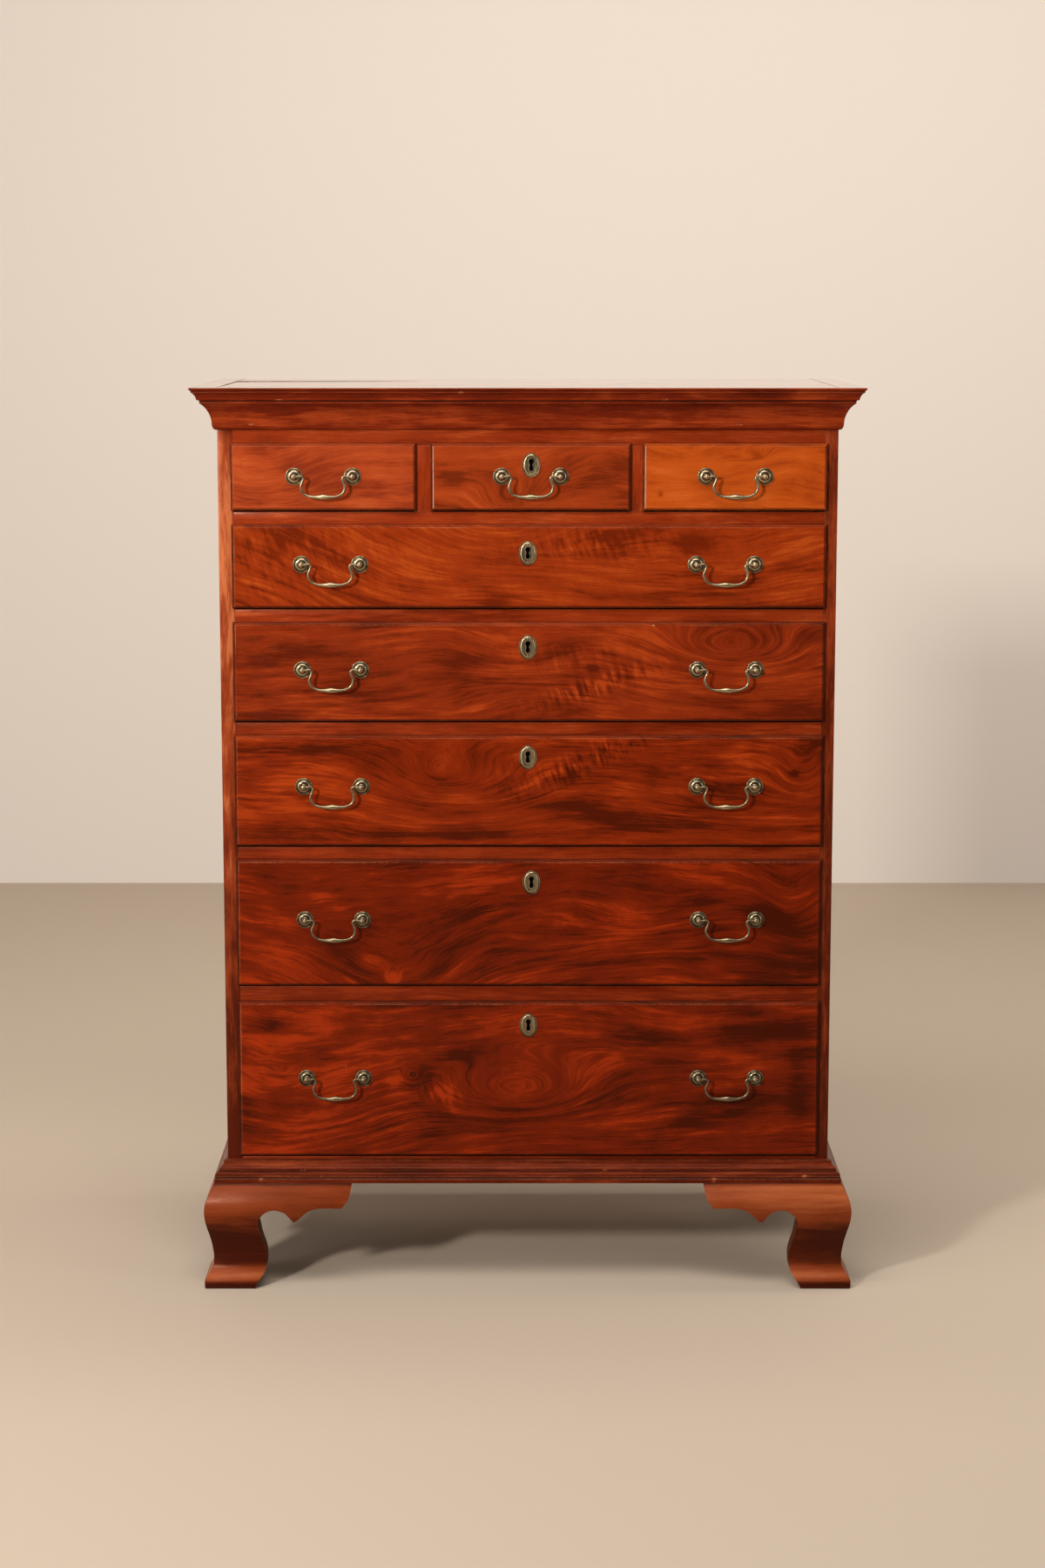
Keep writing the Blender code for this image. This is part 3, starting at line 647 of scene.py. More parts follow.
def loop_walls(loops, sides, around=False):
    """The faces between loops of points. around also joins the last loop to the first."""
    faces = []
    for r in range(loops if around else loops - 1):
        here, on = r * sides, (r + 1) % loops * sides
        faces += [(here + i, here + (i + 1) % sides, on + (i + 1) % sides, on + i) for i in range(sides)]
    return faces


def turned(profile, sides):
    """Points and faces of a turned piece about the Y axis. profile is (radius, height out, worn, grime)."""
    verts, values = [], []
    for radius, out, worn_and_highlight, grime_and_shade in profile:
        for i in range(sides):
            turn = math.tau * i / sides
            verts.append((radius * math.cos(turn), -out, radius * math.sin(turn)))
            values.append((worn_and_highlight, grime_and_shade, worn_and_highlight))
    return verts, loop_walls(len(profile), sides), values


def set_out(points, pattern, finish, result, **placing):
    """Ends a geometry node tree with a finished copy of a small part at every point."""
    copies = {"Points": points, "Instance": pattern, **placing}
    real = signal(points.tree, "GeometryNodeRealizeInstances", {
        0: signal(points.tree, "GeometryNodeInstanceOnPoints", copies),
    })
    coated = signal(points.tree, "GeometryNodeSetMaterial", {"Geometry": real, "Material": finish})
    feed(result["Geometry"], coated)


# Geometry nodes that set a copy of a small part at every point, each turned a little differently
spread_tree, given, result = group(
    "small_parts",
    {"Geometry": "Geometry", "Pattern": "Object", "Turn": "Float", "Seed": "Int", "Finish": "Material"},
    {"Geometry": "Geometry"}, kind="GeometryNodeTree",
)
pattern = signal(spread_tree, "GeometryNodeObjectInfo", {"Object": given["Pattern"]}, output="Geometry")
turn_range = {2: given["Turn"] * -1.0, 3: given["Turn"], "Seed": given["Seed"]}
turn = signal(spread_tree, "FunctionNodeRandomValue", turn_range, output=1)
set_out(given["Geometry"], pattern, given["Finish"], result, Rotation=combined(spread_tree, 0.0, turn, 0.0))


def settled(name, obj, *helpers):
    """The mesh that an object's modifiers leave. The object and its helpers are taken away."""
    graph = bpy.context.evaluated_depsgraph_get()
    made = bpy.data.meshes.new_from_object(obj.evaluated_get(graph), depsgraph=graph)
    for leftover in (obj, *helpers):
        bpy.data.objects.remove(leftover)
    made.name = name
    return made


def grown(name, mesh, tree, inputs):
    """The plain mesh that a geometry node tree makes of a mesh."""
    base = place(name, mesh)
    modifier = base.modifiers.new(tree.name, "NODES")
    modifier.node_group = tree
    sockets = {item.name: item.identifier for item in tree.interface.items_tree if item.in_out == "INPUT"}
    for label, value in inputs.items():
        modifier[sockets[label]] = value
    return settled(name, base)


def spread(name, pattern, points, finish, turn=0.0, seed=1):
    """Copies of a small part at some points, as one mesh."""
    mesh = bpy.data.meshes.new(f"{name}_points")
    mesh.from_pydata([tuple(point) for point in points], [], [])
    original = place(f"{name}_pattern", pattern)
    made = grown(name, mesh, spread_tree, {"Pattern": original, "Turn": turn, "Seed": seed, "Finish": finish})
    bpy.data.objects.remove(original)
    return made


def metal(name, colours, roughness, metallic, low=1.0, high=1.0):
    """Old metal: its colour where it is rubbed, its skin elsewhere, and what settles in the hollows.

    low and high scale its colour near the floor and near the top of the chest, as painted light: darker low
    down and brighter high up.
    """
    bright, dull, dark = colours
    finish, tree, shader = new_finish(name)
    point = signal(tree, "ShaderNodeTexCoord", output="Object")
    skin = cloudy(point, (60.0, 60.0, 60.0), 3.0, 0.65)
    grit = cloudy(point, (900.0, 900.0, 900.0))
    rubbed_and_highlight = remap(skin, 0.52, 0.72, 0.0, 0.35) + marked(tree, "worn_and_highlight") * 0.75
    hollow = marked(tree, "grime_and_shade") * remap(grit, 0.2, 0.6, 0.7, 1.0)
    colour = blend(hollow, blend(rubbed_and_highlight, dull, bright), dark)
    # Painted light: the colour is scaled from low near the floor to high near the top of the chest
    painted_light_by_height = remap(split(point)[2], 0.25, 1.25, low, high)
    wired(shader, {
        "Base Color": vector("MULTIPLY", colour, painted_light_by_height), "Metallic": metallic,
        "Roughness": skin * 0.22 + (roughness - 0.11) + hollow * 0.25, "Normal": bumped(grit, 0.25, 0.0002),
    })
    return finish


dustboard_pine = pine("dustboard_pine", PINE, saw=0.3, seed=4)
back_pine = pine("back_pine", BACK_PINE, saw=0.9, seed=5)
for row in range(1, RAILS + 1):
    node = f"dustboard_{row}"
    part(f"dust_panel_{row}", eased(node), "case", "pine", (dustboard_pine,) * 2, node)
case_floor = eased("bottom_board")
for polygon in case_floor.polygons:
    polygon.material_index = int(polygon.center.y < CASE_FRONT + ARRIS)
part("case_floor", case_floor, "case", "pine", (dustboard_pine, rail_woods[0]), "bottom_board")

iron = metal("nail_iron", IRON, 0.6, 0.8)
nail = solid("nail", *turned([
    (0, -0.002, 0, 0), (NAIL_HEAD / 3, -0.002, 0, 0), (NAIL_HEAD / 3, 0.0, 0, 1), (NAIL_HEAD, 0.0, 0, 1),
    (NAIL_HEAD * 0.9, NAIL_RISE * 0.4, 0.2, 0), (NAIL_HEAD * 0.45, NAIL_RISE, 0.8, 0), (0, NAIL_RISE, 0.8, 0),
], 7))
nail.transform(Matrix.Rotation(math.pi, 4, "Z"))
nail_places = []
for level in ("lower", "upper"):
    node = f"{level}_back_board"
    part(f"back_{level}", eased(node, BACK_ARRIS), "case", "pine", (back_pine,) * 2, node)
    low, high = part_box(node)
    for z in spaced(low.z + NAIL_INSET[1], high.z - NAIL_INSET[1], (high.z - low.z) / BACK_NAILS):
        nail_places.append((low.x + NAIL_INSET[0], CASE_BACK - NAIL_RISE, z))
        nail_places.append((high.x - NAIL_INSET[0], CASE_BACK - NAIL_RISE, z + NAIL_STAGGER))
part("back_nails", spread("back_nails", nail, nail_places, iron, turn=3.0, seed=7), "case", "brass", (iron,))

# Cornice and base moulding: solid mahogany run with a moulding plane, mitred at the front corners, glued and
# bradded to the case. A cove carries the cornice out to a small lip, and the base steps out to the feet.
CORNICE_OUT = 0.0385
CORNICE_HEIGHT = 0.0633
# Each profile: share of the way out, share of the height, and 1 where it turns sharply
CORNICE = (
    (0.0, 0.0, 1), (0.07, 0.004, 0), (0.14, 0.035, 0), (0.182, 0.095, 0), (0.19, 0.14, 1), (0.205, 0.23, 0),
    (0.245, 0.33, 0), (0.31, 0.42, 0), (0.39, 0.50, 0), (0.50, 0.575, 0), (0.62, 0.635, 1),
    (0.625, 0.70, 1), (0.73, 0.715, 1), (0.745, 0.76, 0), (0.78, 0.81, 0), (0.85, 0.865, 0),
    (0.92, 0.893, 1), (0.925, 0.935, 1), (0.965, 0.943, 0), (0.99, 0.965, 0), (1.0, 1.0, 1),
)
BASE_OUT = 0.0200
BASE_HEIGHT = 0.0348
BASE_UNDER = 0.1653
BASE = (
    (1.0, 0.0, 1), (1.0, 0.20, 1), (0.94, 0.23, 1), (0.94, 0.33, 1), (0.92, 0.40, 0), (0.84, 0.46, 0),
    (0.72, 0.49, 0), (0.64, 0.50, 1), (0.64, 0.56, 1), (0.60, 0.63, 0), (0.50, 0.69, 0), (0.37, 0.75, 0),
    (0.30, 0.84, 0), (0.285, 0.92, 1), (0.275, 0.975, 1), (0.0, 1.0, 1),
)
MITRE = 0.00025
FRONT_STEP = 0.0025
SIDE_STEP = 0.012
PLANING = 0.00018
SOFTENING = 0.0006
CHIP_RISE = 0.0022
# Chips out of the arrises: place along the front, height as a share, length, depth
CORNICE_CHIPS = (
    (-0.430, 0.715, 0.006, 0.0009), (-0.372, 0.715, 0.007, 0.0011), (-0.415, 0.14, 0.004, 0.0007),
    (-0.100, 0.893, 0.004, 0.0005), (0.205, 0.715, 0.005, 0.0006), (0.405, 0.893, 0.007, 0.0008),
    (0.318, 0.14, 0.006, 0.0006),
)
BASE_CHIPS = (
    (-0.350, 0.56, 0.006, 0.0009), (-0.322, 0.33, 0.004, 0.0008), (-0.415, 0.20, 0.003, 0.0007),
    (-0.03, 0.33, 0.004, 0.0005), (0.120, 0.56, 0.005, 0.0006), (0.290, 0.20, 0.006, 0.0007),
    (0.43, 0.33, 0.005, 0.0008),
)
CORNICE_RED = ((0.075, 0.0060, 0.0015), (0.175, 0.0150, 0.0030), (0.360, 0.0480, 0.0090))
BASE_RED = ((0.050, 0.0050, 0.0014), (0.115, 0.0130, 0.0034), (0.230, 0.0360, 0.0100))
# A painted highlight lightens the cove, which faces down away from the lamps: x, z, reach along and up, turn,
# strength
COVE_HIGHLIGHT = ((0.0, 1.348, 50.0, 0.013, 0, -0.22),)
# Painted shade darkens three hollows of the base moulding: x, z, reach along and up, turn, strength
BASE_HOLLOW_SHADE = (
    (0.0, 0.1729, 50.0, 0.0011, 0, 0.5), (0.0, 0.1842, 50.0, 0.0014, 0, 0.5),
    (0.0, 0.1985, 50.0, 0.001, 0, 0.4),
)
HANDS = {"left": -1, "right": 1}


def flowing(points, steps):
    """A smooth line through points, whose last number is 1 where the line turns sharply."""
    line = [points[0]]
    for i in range(len(points) - 1):
        a, b = points[i], points[i + 1]
        before = a if a[-1] or i == 0 else points[i - 1]
        after = b if b[-1] or i + 2 == len(points) else points[i + 2]
        if a[-1] and b[-1]:
            line.append(b)
            continue
        for step in range(1, steps + 1):
            t = step / steps
            at = [
                0.5 * (
                    2 * q + (r - p) * t + (2 * p - 5 * q + 4 * r - s) * t ** 2
                    + (3 * q - p - 3 * r + s) * t ** 3
                )
                for p, q, r, s in zip(before[:-1], a[:-1], b[:-1], after[:-1])
            ]
            line.append((*at, b[-1] if step == steps else 0))
    return line


def softened(line, out, height):
    """A moulding's section in metres. Its sharp turns are rubbed round, worn outside and darker inside."""
    points = [(share * out, rise * height) for share, rise, _ in line]
    section = []
    for i, ((x, z), (*_, sharp)) in enumerate(zip(points, line)):
        if not sharp or i in (0, len(points) - 1):
            section.append((x, z, 0.0, 0.0, 0.0))
            continue
        here = Vector((x, z))
        back, on = Vector(points[i - 1]) - here, Vector(points[i + 1]) - here
        outside = back.x * on.y - back.y * on.x < 0
        marks = (0.35, 0.0, 0.6) if outside else (0.0, 1.0, 0.0)
        for leg, share, mark in ((back, 3.0, 0), (back, 1.0, 1), (on, 1.0, 1), (on, 3.0, 0)):
            step = min(SOFTENING * share, leg.length * (0.45 if share > 1 else 0.15))
            at = here + leg.normalized() * step
            section.append((at.x, at.y, *(marks if mark else (0.0, 0.0, 0.0))))
    return section


def capped(loops, sides):
    """The faces of a closed run of loops, with both its ends."""
    return loop_walls(loops, sides) + [tuple(range(sides)), tuple(range((loops - 1) * sides, loops * sides))]


def on_case(face, along, out, z):
    """A point on one face of the case, some way out from it."""
    return (along, CASE_FRONT - out, z) if face == "front" else (HANDS[face] * (HALF_CASE + out), along, z)


def along_run(face, out, share):
    """Where a share of a mitred length is, some way out from the case."""
    if face == "front":
        half = HALF_CASE + out - MITRE
        return -half + 2 * half * share
    corner = CASE_FRONT - out + MITRE
    return corner + (CASE_BACK - corner) * share


def moulding(name, line, out, height, under, chips, face, step):
    """A length of moulding on one face of the case, with planing waves and chips."""
    section = softened(flowing(line, 4), out, height)
    stations = spaced(0.0, 1.0, step)
    verts, values = [], []
    for share in stations:
        for reach, rise, worn_and_highlight, grime_and_shade, polish in section:
            along = along_run(face, reach, share)
            ripple = PLANING * (noise.noise(Vector((along * 7, rise * 60, 11))) - 0.6)
            for at, chip_at, length, depth in chips:
                near = max(0.0, 1 - abs(along - at) / length)
                near *= max(0.0, 1 - abs(rise - chip_at * height) / CHIP_RISE)
                if near > 0:
                    ripple -= depth * min(1.0, 2 * near)
                    worn_and_highlight = max(worn_and_highlight, min(2.5, 6 * near))
            worked = reach + ripple if reach > 0.001 else reach
            verts.append(on_case(face, along, max(SEAT, worked), under + rise))
            values.append((worn_and_highlight, grime_and_shade, polish))
        verts += [on_case(face, along_run(face, SEAT, share), SEAT, z) for z in (under + height, under)]
        values += [(0.0, 0.0, 0.0)] * 2
    return solid(name, verts, capped(len(stations), len(section) + 2), values, angle=40)


for kind, line, out, height, under, chips, reds, shades in (
    (
        "cornice", CORNICE, CORNICE_OUT, CORNICE_HEIGHT, CASE_TOP - CORNICE_HEIGHT, CORNICE_CHIPS,
        CORNICE_RED, COVE_HIGHLIGHT,
    ),
    ("base_moulding", BASE, BASE_OUT, BASE_HEIGHT, BASE_UNDER, BASE_CHIPS, BASE_RED, BASE_HOLLOW_SHADE),
):
    for where, faces, grain, step in (
        ("front", ("front",), "X", FRONT_STEP), ("side", ("left", "right"), "Y", SIDE_STEP),
    ):
        wood = mahogany(
            f"{kind}_{where}_mahogany", reds, grain=grain, drift=0.02, clouds=0.12, seed=6, contrast=0.8,
            gloss=0.04, smokes=shades,
        )
        for face in faces:
            name = f"{kind}_run_{face}"
            run = moulding(name, line, out, height, under, chips if face == "front" else (), face, step)
            for polygon in run.polygons:
                polygon.material_index = int(kind == "cornice" and polygon.normal.z > 0.9)
            part(name, run, "case", "mahogany", (wood, top_wood), f"{kind}_{face}")

# Feet: ogee brackets, each sawn from thick mahogany to an ogee and a scroll. Two are mitred at each front
# corner, and a rear foot has one at the side and a plain pine one at the back. Pine blocks are glued inside.
FOOT_HEIGHT = 0.165
FOOT_OUT = 0.0355
FOOT_INSIDE = 0.008
FOOT_ARRIS = 0.0008
BRACKET = 0.194
# The ogee runs down from the base moulding, and the scroll in from the corner, as shares of the foot
OGEE = (
    (0.563, 1.0, 1), (0.765, 0.92, 0), (0.93, 0.835, 0), (0.99, 0.75, 0), (0.96, 0.667, 0),
    (0.893, 0.60, 0), (0.727, 0.467, 0), (0.625, 0.34, 0), (0.614, 0.27, 0), (0.634, 0.208, 0),
    (0.765, 0.152, 0), (0.915, 0.108, 0), (1.0, 0.078, 1), (0.995, 0.014, 1), (0.95, 0.0, 1),
)
SCROLL = (
    (1.0, 1.0, 1), (0.985, 0.91, 0), (0.964, 0.845, 0), (0.918, 0.78, 1), (0.80, 0.782, 0),
    (0.72, 0.777, 0), (0.65, 0.752, 0), (0.593, 0.694, 0), (0.556, 0.655, 0), (0.532, 0.641, 1),
    (0.50, 0.688, 0), (0.461, 0.735, 0), (0.397, 0.761, 0), (0.334, 0.755, 0), (0.28, 0.712, 0),
    (0.247, 0.648, 0), (0.258, 0.57, 0), (0.27, 0.495, 0), (0.305, 0.365, 0), (0.313, 0.271, 0),
    (0.30, 0.164, 0), (0.25, 0.077, 0), (0.216, 0.0, 1),
)
REAR_BRACKET = 0.020
REAR_LENGTH = 0.120
REAR_SCROLL = (
    (1.0, 1.0, 1), (0.96, 0.80, 0), (0.80, 0.66, 0), (0.52, 0.50, 0), (0.42, 0.30, 0), (0.40, 0.0, 1),
)
CASE_UNDER = 0.1835
GLUE_BLOCK = 0.032
BLOCK_RAISED = 0.004
BLOCK_ARRIS = 0.0015
STRIP_LENGTH = 0.09
STRIP = 0.018
FOOT_RED = ((0.045, 0.0048, 0.0010), (0.225, 0.0380, 0.0085), (0.400, 0.1000, 0.0300))
# The glue blocks' pine is darkened, partly old dirt and partly painted shade under the case
SHADED_BLOCK_PINE = ((0.045, 0.020, 0.009), (0.085, 0.042, 0.020), (0.125, 0.068, 0.034))
# The brackets' sawn edges: unpolished wood, darkened further as painted shade
FOOT_EDGE_SHADE_RED = ((0.022, 0.0042, 0.0012), (0.070, 0.0140, 0.0040), (0.120, 0.0300, 0.0100))
# Painted light and shade on the feet: shade round the ankle, which faces down, shadow under the base moulding
# and along the floor, and highlights on the toe and high on the right foot: x, z, reach along and up, turn,
# strength
FOOT_LIGHT_AND_SHADE = (
    (0.0, 0.076, 50.0, 0.036, 0, 0.42), (0.0, 0.044, 50.0, 0.016, 0, 0.16),
    (0.50, 0.15, 0.20, 0.05, 0, -0.30), (0.0, 0.022, 50.0, 0.009, 0, -0.25),
    (0.0, 0.002, 50.0, 0.010, 0, 0.50), (0.0, 0.1655, 50.0, 0.003, 0, 0.45),
)
FOOT_LOOK = dict(drift=0.02, clouds=0.10, smokes=FOOT_LIGHT_AND_SHADE)
# How far the scroll's cutter passes the bracket's edges, and its faces
PAST = 0.01
TOOL_REACH = 0.1


def prism(outline, at, start, end):
    """Points and faces of a flat outline carried from start to end. at turns (a, b, along) into a place."""
    return [at(a, b, along) for along in (start, end) for a, b in outline], capped(2, len(outline))


def cut(name, base, cutters, operation="DIFFERENCE"):
    """The mesh that is left when closed meshes are cut from another, or what it shares with them."""
    obj = place(name, base)
    tools = [place(f"{name}_tool", cutter) for cutter in cutters]
    for tool in tools:
        modifier = obj.modifiers.new("cut", "BOOLEAN")
        modifier.operation = operation
        modifier.solver = "EXACT"
        modifier.object = tool
    return settled(name, obj, *tools)


def rounded(mesh, arris, sharp=0.7):
    """Rubs the arrises of a cut mesh round."""
    bm = bmesh.new()
    bm.from_mesh(mesh)
    bmesh.ops.remove_doubles(bm, verts=bm.verts, dist=2e-5)
    bmesh.ops.dissolve_degenerate(bm, edges=bm.edges, dist=2e-5)
    return rubbed_round(bm, mesh, arris, sharp)


def block(x, y, z):
    """A plain board's closed mesh between two ends on each axis."""
    outline = [(x[0], y[0]), (x[1], y[0]), (x[1], y[1]), (x[0], y[1])]
    return solid("block", *prism(outline, lambda a, b, along: (a, b, along), *z))


def scroll_tool(corner, inwards, at, start, end):
    """What a bracket keeps: its scroll, carried past its outer end and both edges."""
    line = [(corner + inwards * share * BRACKET, rise * FOOT_HEIGHT) for share, rise, _ in flowing(SCROLL, 4)]
    outer = corner - inwards * (FOOT_OUT + PAST)
    outline = [(outer, FOOT_HEIGHT + PAST), (line[0][0], FOOT_HEIGHT + PAST), *line]
    outline += [(line[-1][0], -PAST), (outer, -PAST)]
    return solid("scroll", *prism(outline, at, start, end))


def foot_bracket(name, face, ends, corner, inwards, node):
    """One ogee bracket, cut to its scroll. ends give its limits at a distance out from the case."""
    section = [(share * FOOT_OUT, rise * FOOT_HEIGHT) for share, rise, _ in flowing(OGEE, 5)]
    section += [(-FOOT_INSIDE, 0.0), (-FOOT_INSIDE, FOOT_HEIGHT)]
    verts = [on_case(face, end(out), out, z) for end in ends for out, z in section]
    run = solid("ogee", verts, capped(2, len(section)))
    if face == "front":
        through = (CASE_FRONT - TOOL_REACH, CASE_FRONT + TOOL_REACH)
        tool = scroll_tool(corner, inwards, lambda a, z, y: (a, y, z), *through)
    else:
        through = (HANDS[face] * (HALF_CASE - TOOL_REACH / 2), HANDS[face] * (HALF_CASE + TOOL_REACH))
        tool = scroll_tool(corner, inwards, lambda a, z, x: (x, a, z), *through)
    mesh = rounded(cut(name, run, [tool], "INTERSECT"), FOOT_ARRIS, sharp=0.42)
    # The sawn edges take the dark, dull finish, partly unpolished wood and partly painted shade
    for polygon in mesh.polygons:
        outward = polygon.normal.y if face == "front" else polygon.normal.x
        if polygon.material_index == 0 and abs(outward) < 0.02 and polygon.normal.z < 0.5:
            polygon.material_index = 2
    woods = front_foot_woods if face == "front" else side_foot_woods
    part(name, mesh, "case", "foot_mahogany", (*woods, shaded_foot_edge), node)


front_foot_woods = [
    mahogany("foot_mahogany", FOOT_RED, contrast=0.30, seed=8, gloss=0.12, coat=0.36, **FOOT_LOOK),
    mahogany("foot_arris", FOOT_RED, contrast=0.30, worn_and_highlight=0.7, seed=8, gloss=0.2, **FOOT_LOOK),
]
side_foot_woods = [
    mahogany("side_foot_mahogany", FOOT_RED, "Y", contrast=0.35, seed=9, gloss=0.12, coat=0.36, **FOOT_LOOK),
    mahogany("side_foot_arris", FOOT_RED, "Y", contrast=0.55, worn_and_highlight=0.7, seed=9, gloss=0.3, **FOOT_LOOK),
]
shaded_foot_edge = mahogany(
    "shaded_foot_edge", FOOT_EDGE_SHADE_RED, drift=0.02, clouds=0.10, contrast=0.5, seed=8, roughness=0.6, gloss=0.0,
)
shaded_block_pine = pine("shaded_block_pine", SHADED_BLOCK_PINE, grain="Z", saw=0.6, seed=10)
front_inside = CASE_FRONT + FOOT_INSIDE
rear_inside = CASE_BACK - REAR_BRACKET
block_z = (BLOCK_RAISED, CASE_UNDER - SEAT)

for side, hand in HANDS.items():
    inner = hand * (HALF_CASE - FOOT_INSIDE)
    foot_bracket(
        f"front_foot_{side}", "front",
        (lambda out: hand * (HALF_CASE + out - MITRE), lambda out: hand * (HALF_CASE - BRACKET - PAST)),
        hand * HALF_CASE, -hand, f"front_bracket_{side}",
    )
    foot_bracket(
        f"side_foot_{side}", side,
        (lambda out: CASE_FRONT - out + MITRE, lambda out: CASE_FRONT + BRACKET + PAST),
        CASE_FRONT, 1, f"side_bracket_{side}",
    )
    foot_bracket(
        f"back_foot_{side}", side, (lambda out: CASE_BACK - BRACKET - PAST, lambda out: CASE_BACK),
        CASE_BACK, -1, f"rear_foot_{side}",
    )
    rear_line = [
        (hand * (HALF_CASE - max(share * REAR_LENGTH, FOOT_INSIDE)), rise * FOOT_HEIGHT)
        for share, rise, _ in flowing(REAR_SCROLL, 4)
    ]
    rear_line += [(inner, 0.0), (inner, FOOT_HEIGHT)]
    rear = solid("rear", *prism(rear_line, lambda a, z, y: (a, y, z), rear_inside, CASE_BACK))
    part(f"back_bracket_{side}", rounded(rear, FOOT_ARRIS), "case", "pine", (back_pine,) * 2)
    block_x = sorted((inner, inner - hand * GLUE_BLOCK))
    strip_x = sorted(inner - hand * (GLUE_BLOCK + SEAT + length) for length in (0.0, STRIP_LENGTH))
    for name, x, y, z in (
        ("corner", block_x, (front_inside + SEAT, front_inside + GLUE_BLOCK), block_z),
        ("strip", strip_x, (front_inside, front_inside + STRIP), (FOOT_HEIGHT - STRIP, CASE_UNDER - SEAT)),
        ("back", block_x, (rear_inside - GLUE_BLOCK, rear_inside), block_z),
    ):
        glued = rounded(block(x, y, z), BLOCK_ARRIS)
        part(f"glue_block_{name}_{side}", glued, "case", "pine", (shaded_block_pine,) * 2)

# Drawer fronts: solid mahogany chosen for its figure, with a thumb mould worked round the edge and a lip at
# the sides and top. Each hides lapped dovetails, and the keyed ones have a keyhole to the lock, cut here only
# part way into the front.
FACE = 0.0070
LIP_EDGE = 0.0026
THUMB = 0.0034
THUMB_TOP = 0.0058
STEP_AT = 0.0037
STEP_RUN = 0.0004
STEP_SHARP = 0.88
IN_OPENING = 0.015
LIP = 0.0030
SIDE_CLEAR = 0.0015
TOP_CLEAR = 0.0020
UNDER = 0.0010
EDGE_GONE = 0.0008
INSETS = (
    0.0, 0.00012, 0.0004, 0.0008, 0.0014, 0.0021, 0.0028, 0.0034, 0.0037, 0.0039, 0.00405, 0.0043, 0.0055,
    0.009,
)
FACE_STEP = 0.012
# Each face is planed in long waves that fade out this near to its edge, and is a little uneven
FACE_WAVE = 0.00022
WAVE_FADE = 0.01
UNEVEN = 0.00005
# Where a front's edge carries a painted highlight (at the shoulder of the top and left edges) and painted
# shade with some dirt (along the lip), as distances in from the lip
SHOULDER = (0.0036, 0.0046)
TOP_DIRT_AND_SHADE = 0.0003
SIDE_DIRT_AND_SHADE = 0.0020
RAW_RED = ((0.16, 0.035, 0.014), (0.27, 0.075, 0.032), (0.36, 0.12, 0.055))
# A painted highlight runs down the left edges of these two fronts, where the thumb mould catches the light,
# at this distance from the lip
PAINTED_HIGHLIGHT_FRONTS = ("top_middle", "top_right")
HIGHLIGHT_BAND = (0.0028, 0.0043)
HIGHLIGHT_RED = ((0.34, 0.16, 0.11), (0.58, 0.36, 0.28), (0.72, 0.52, 0.43))
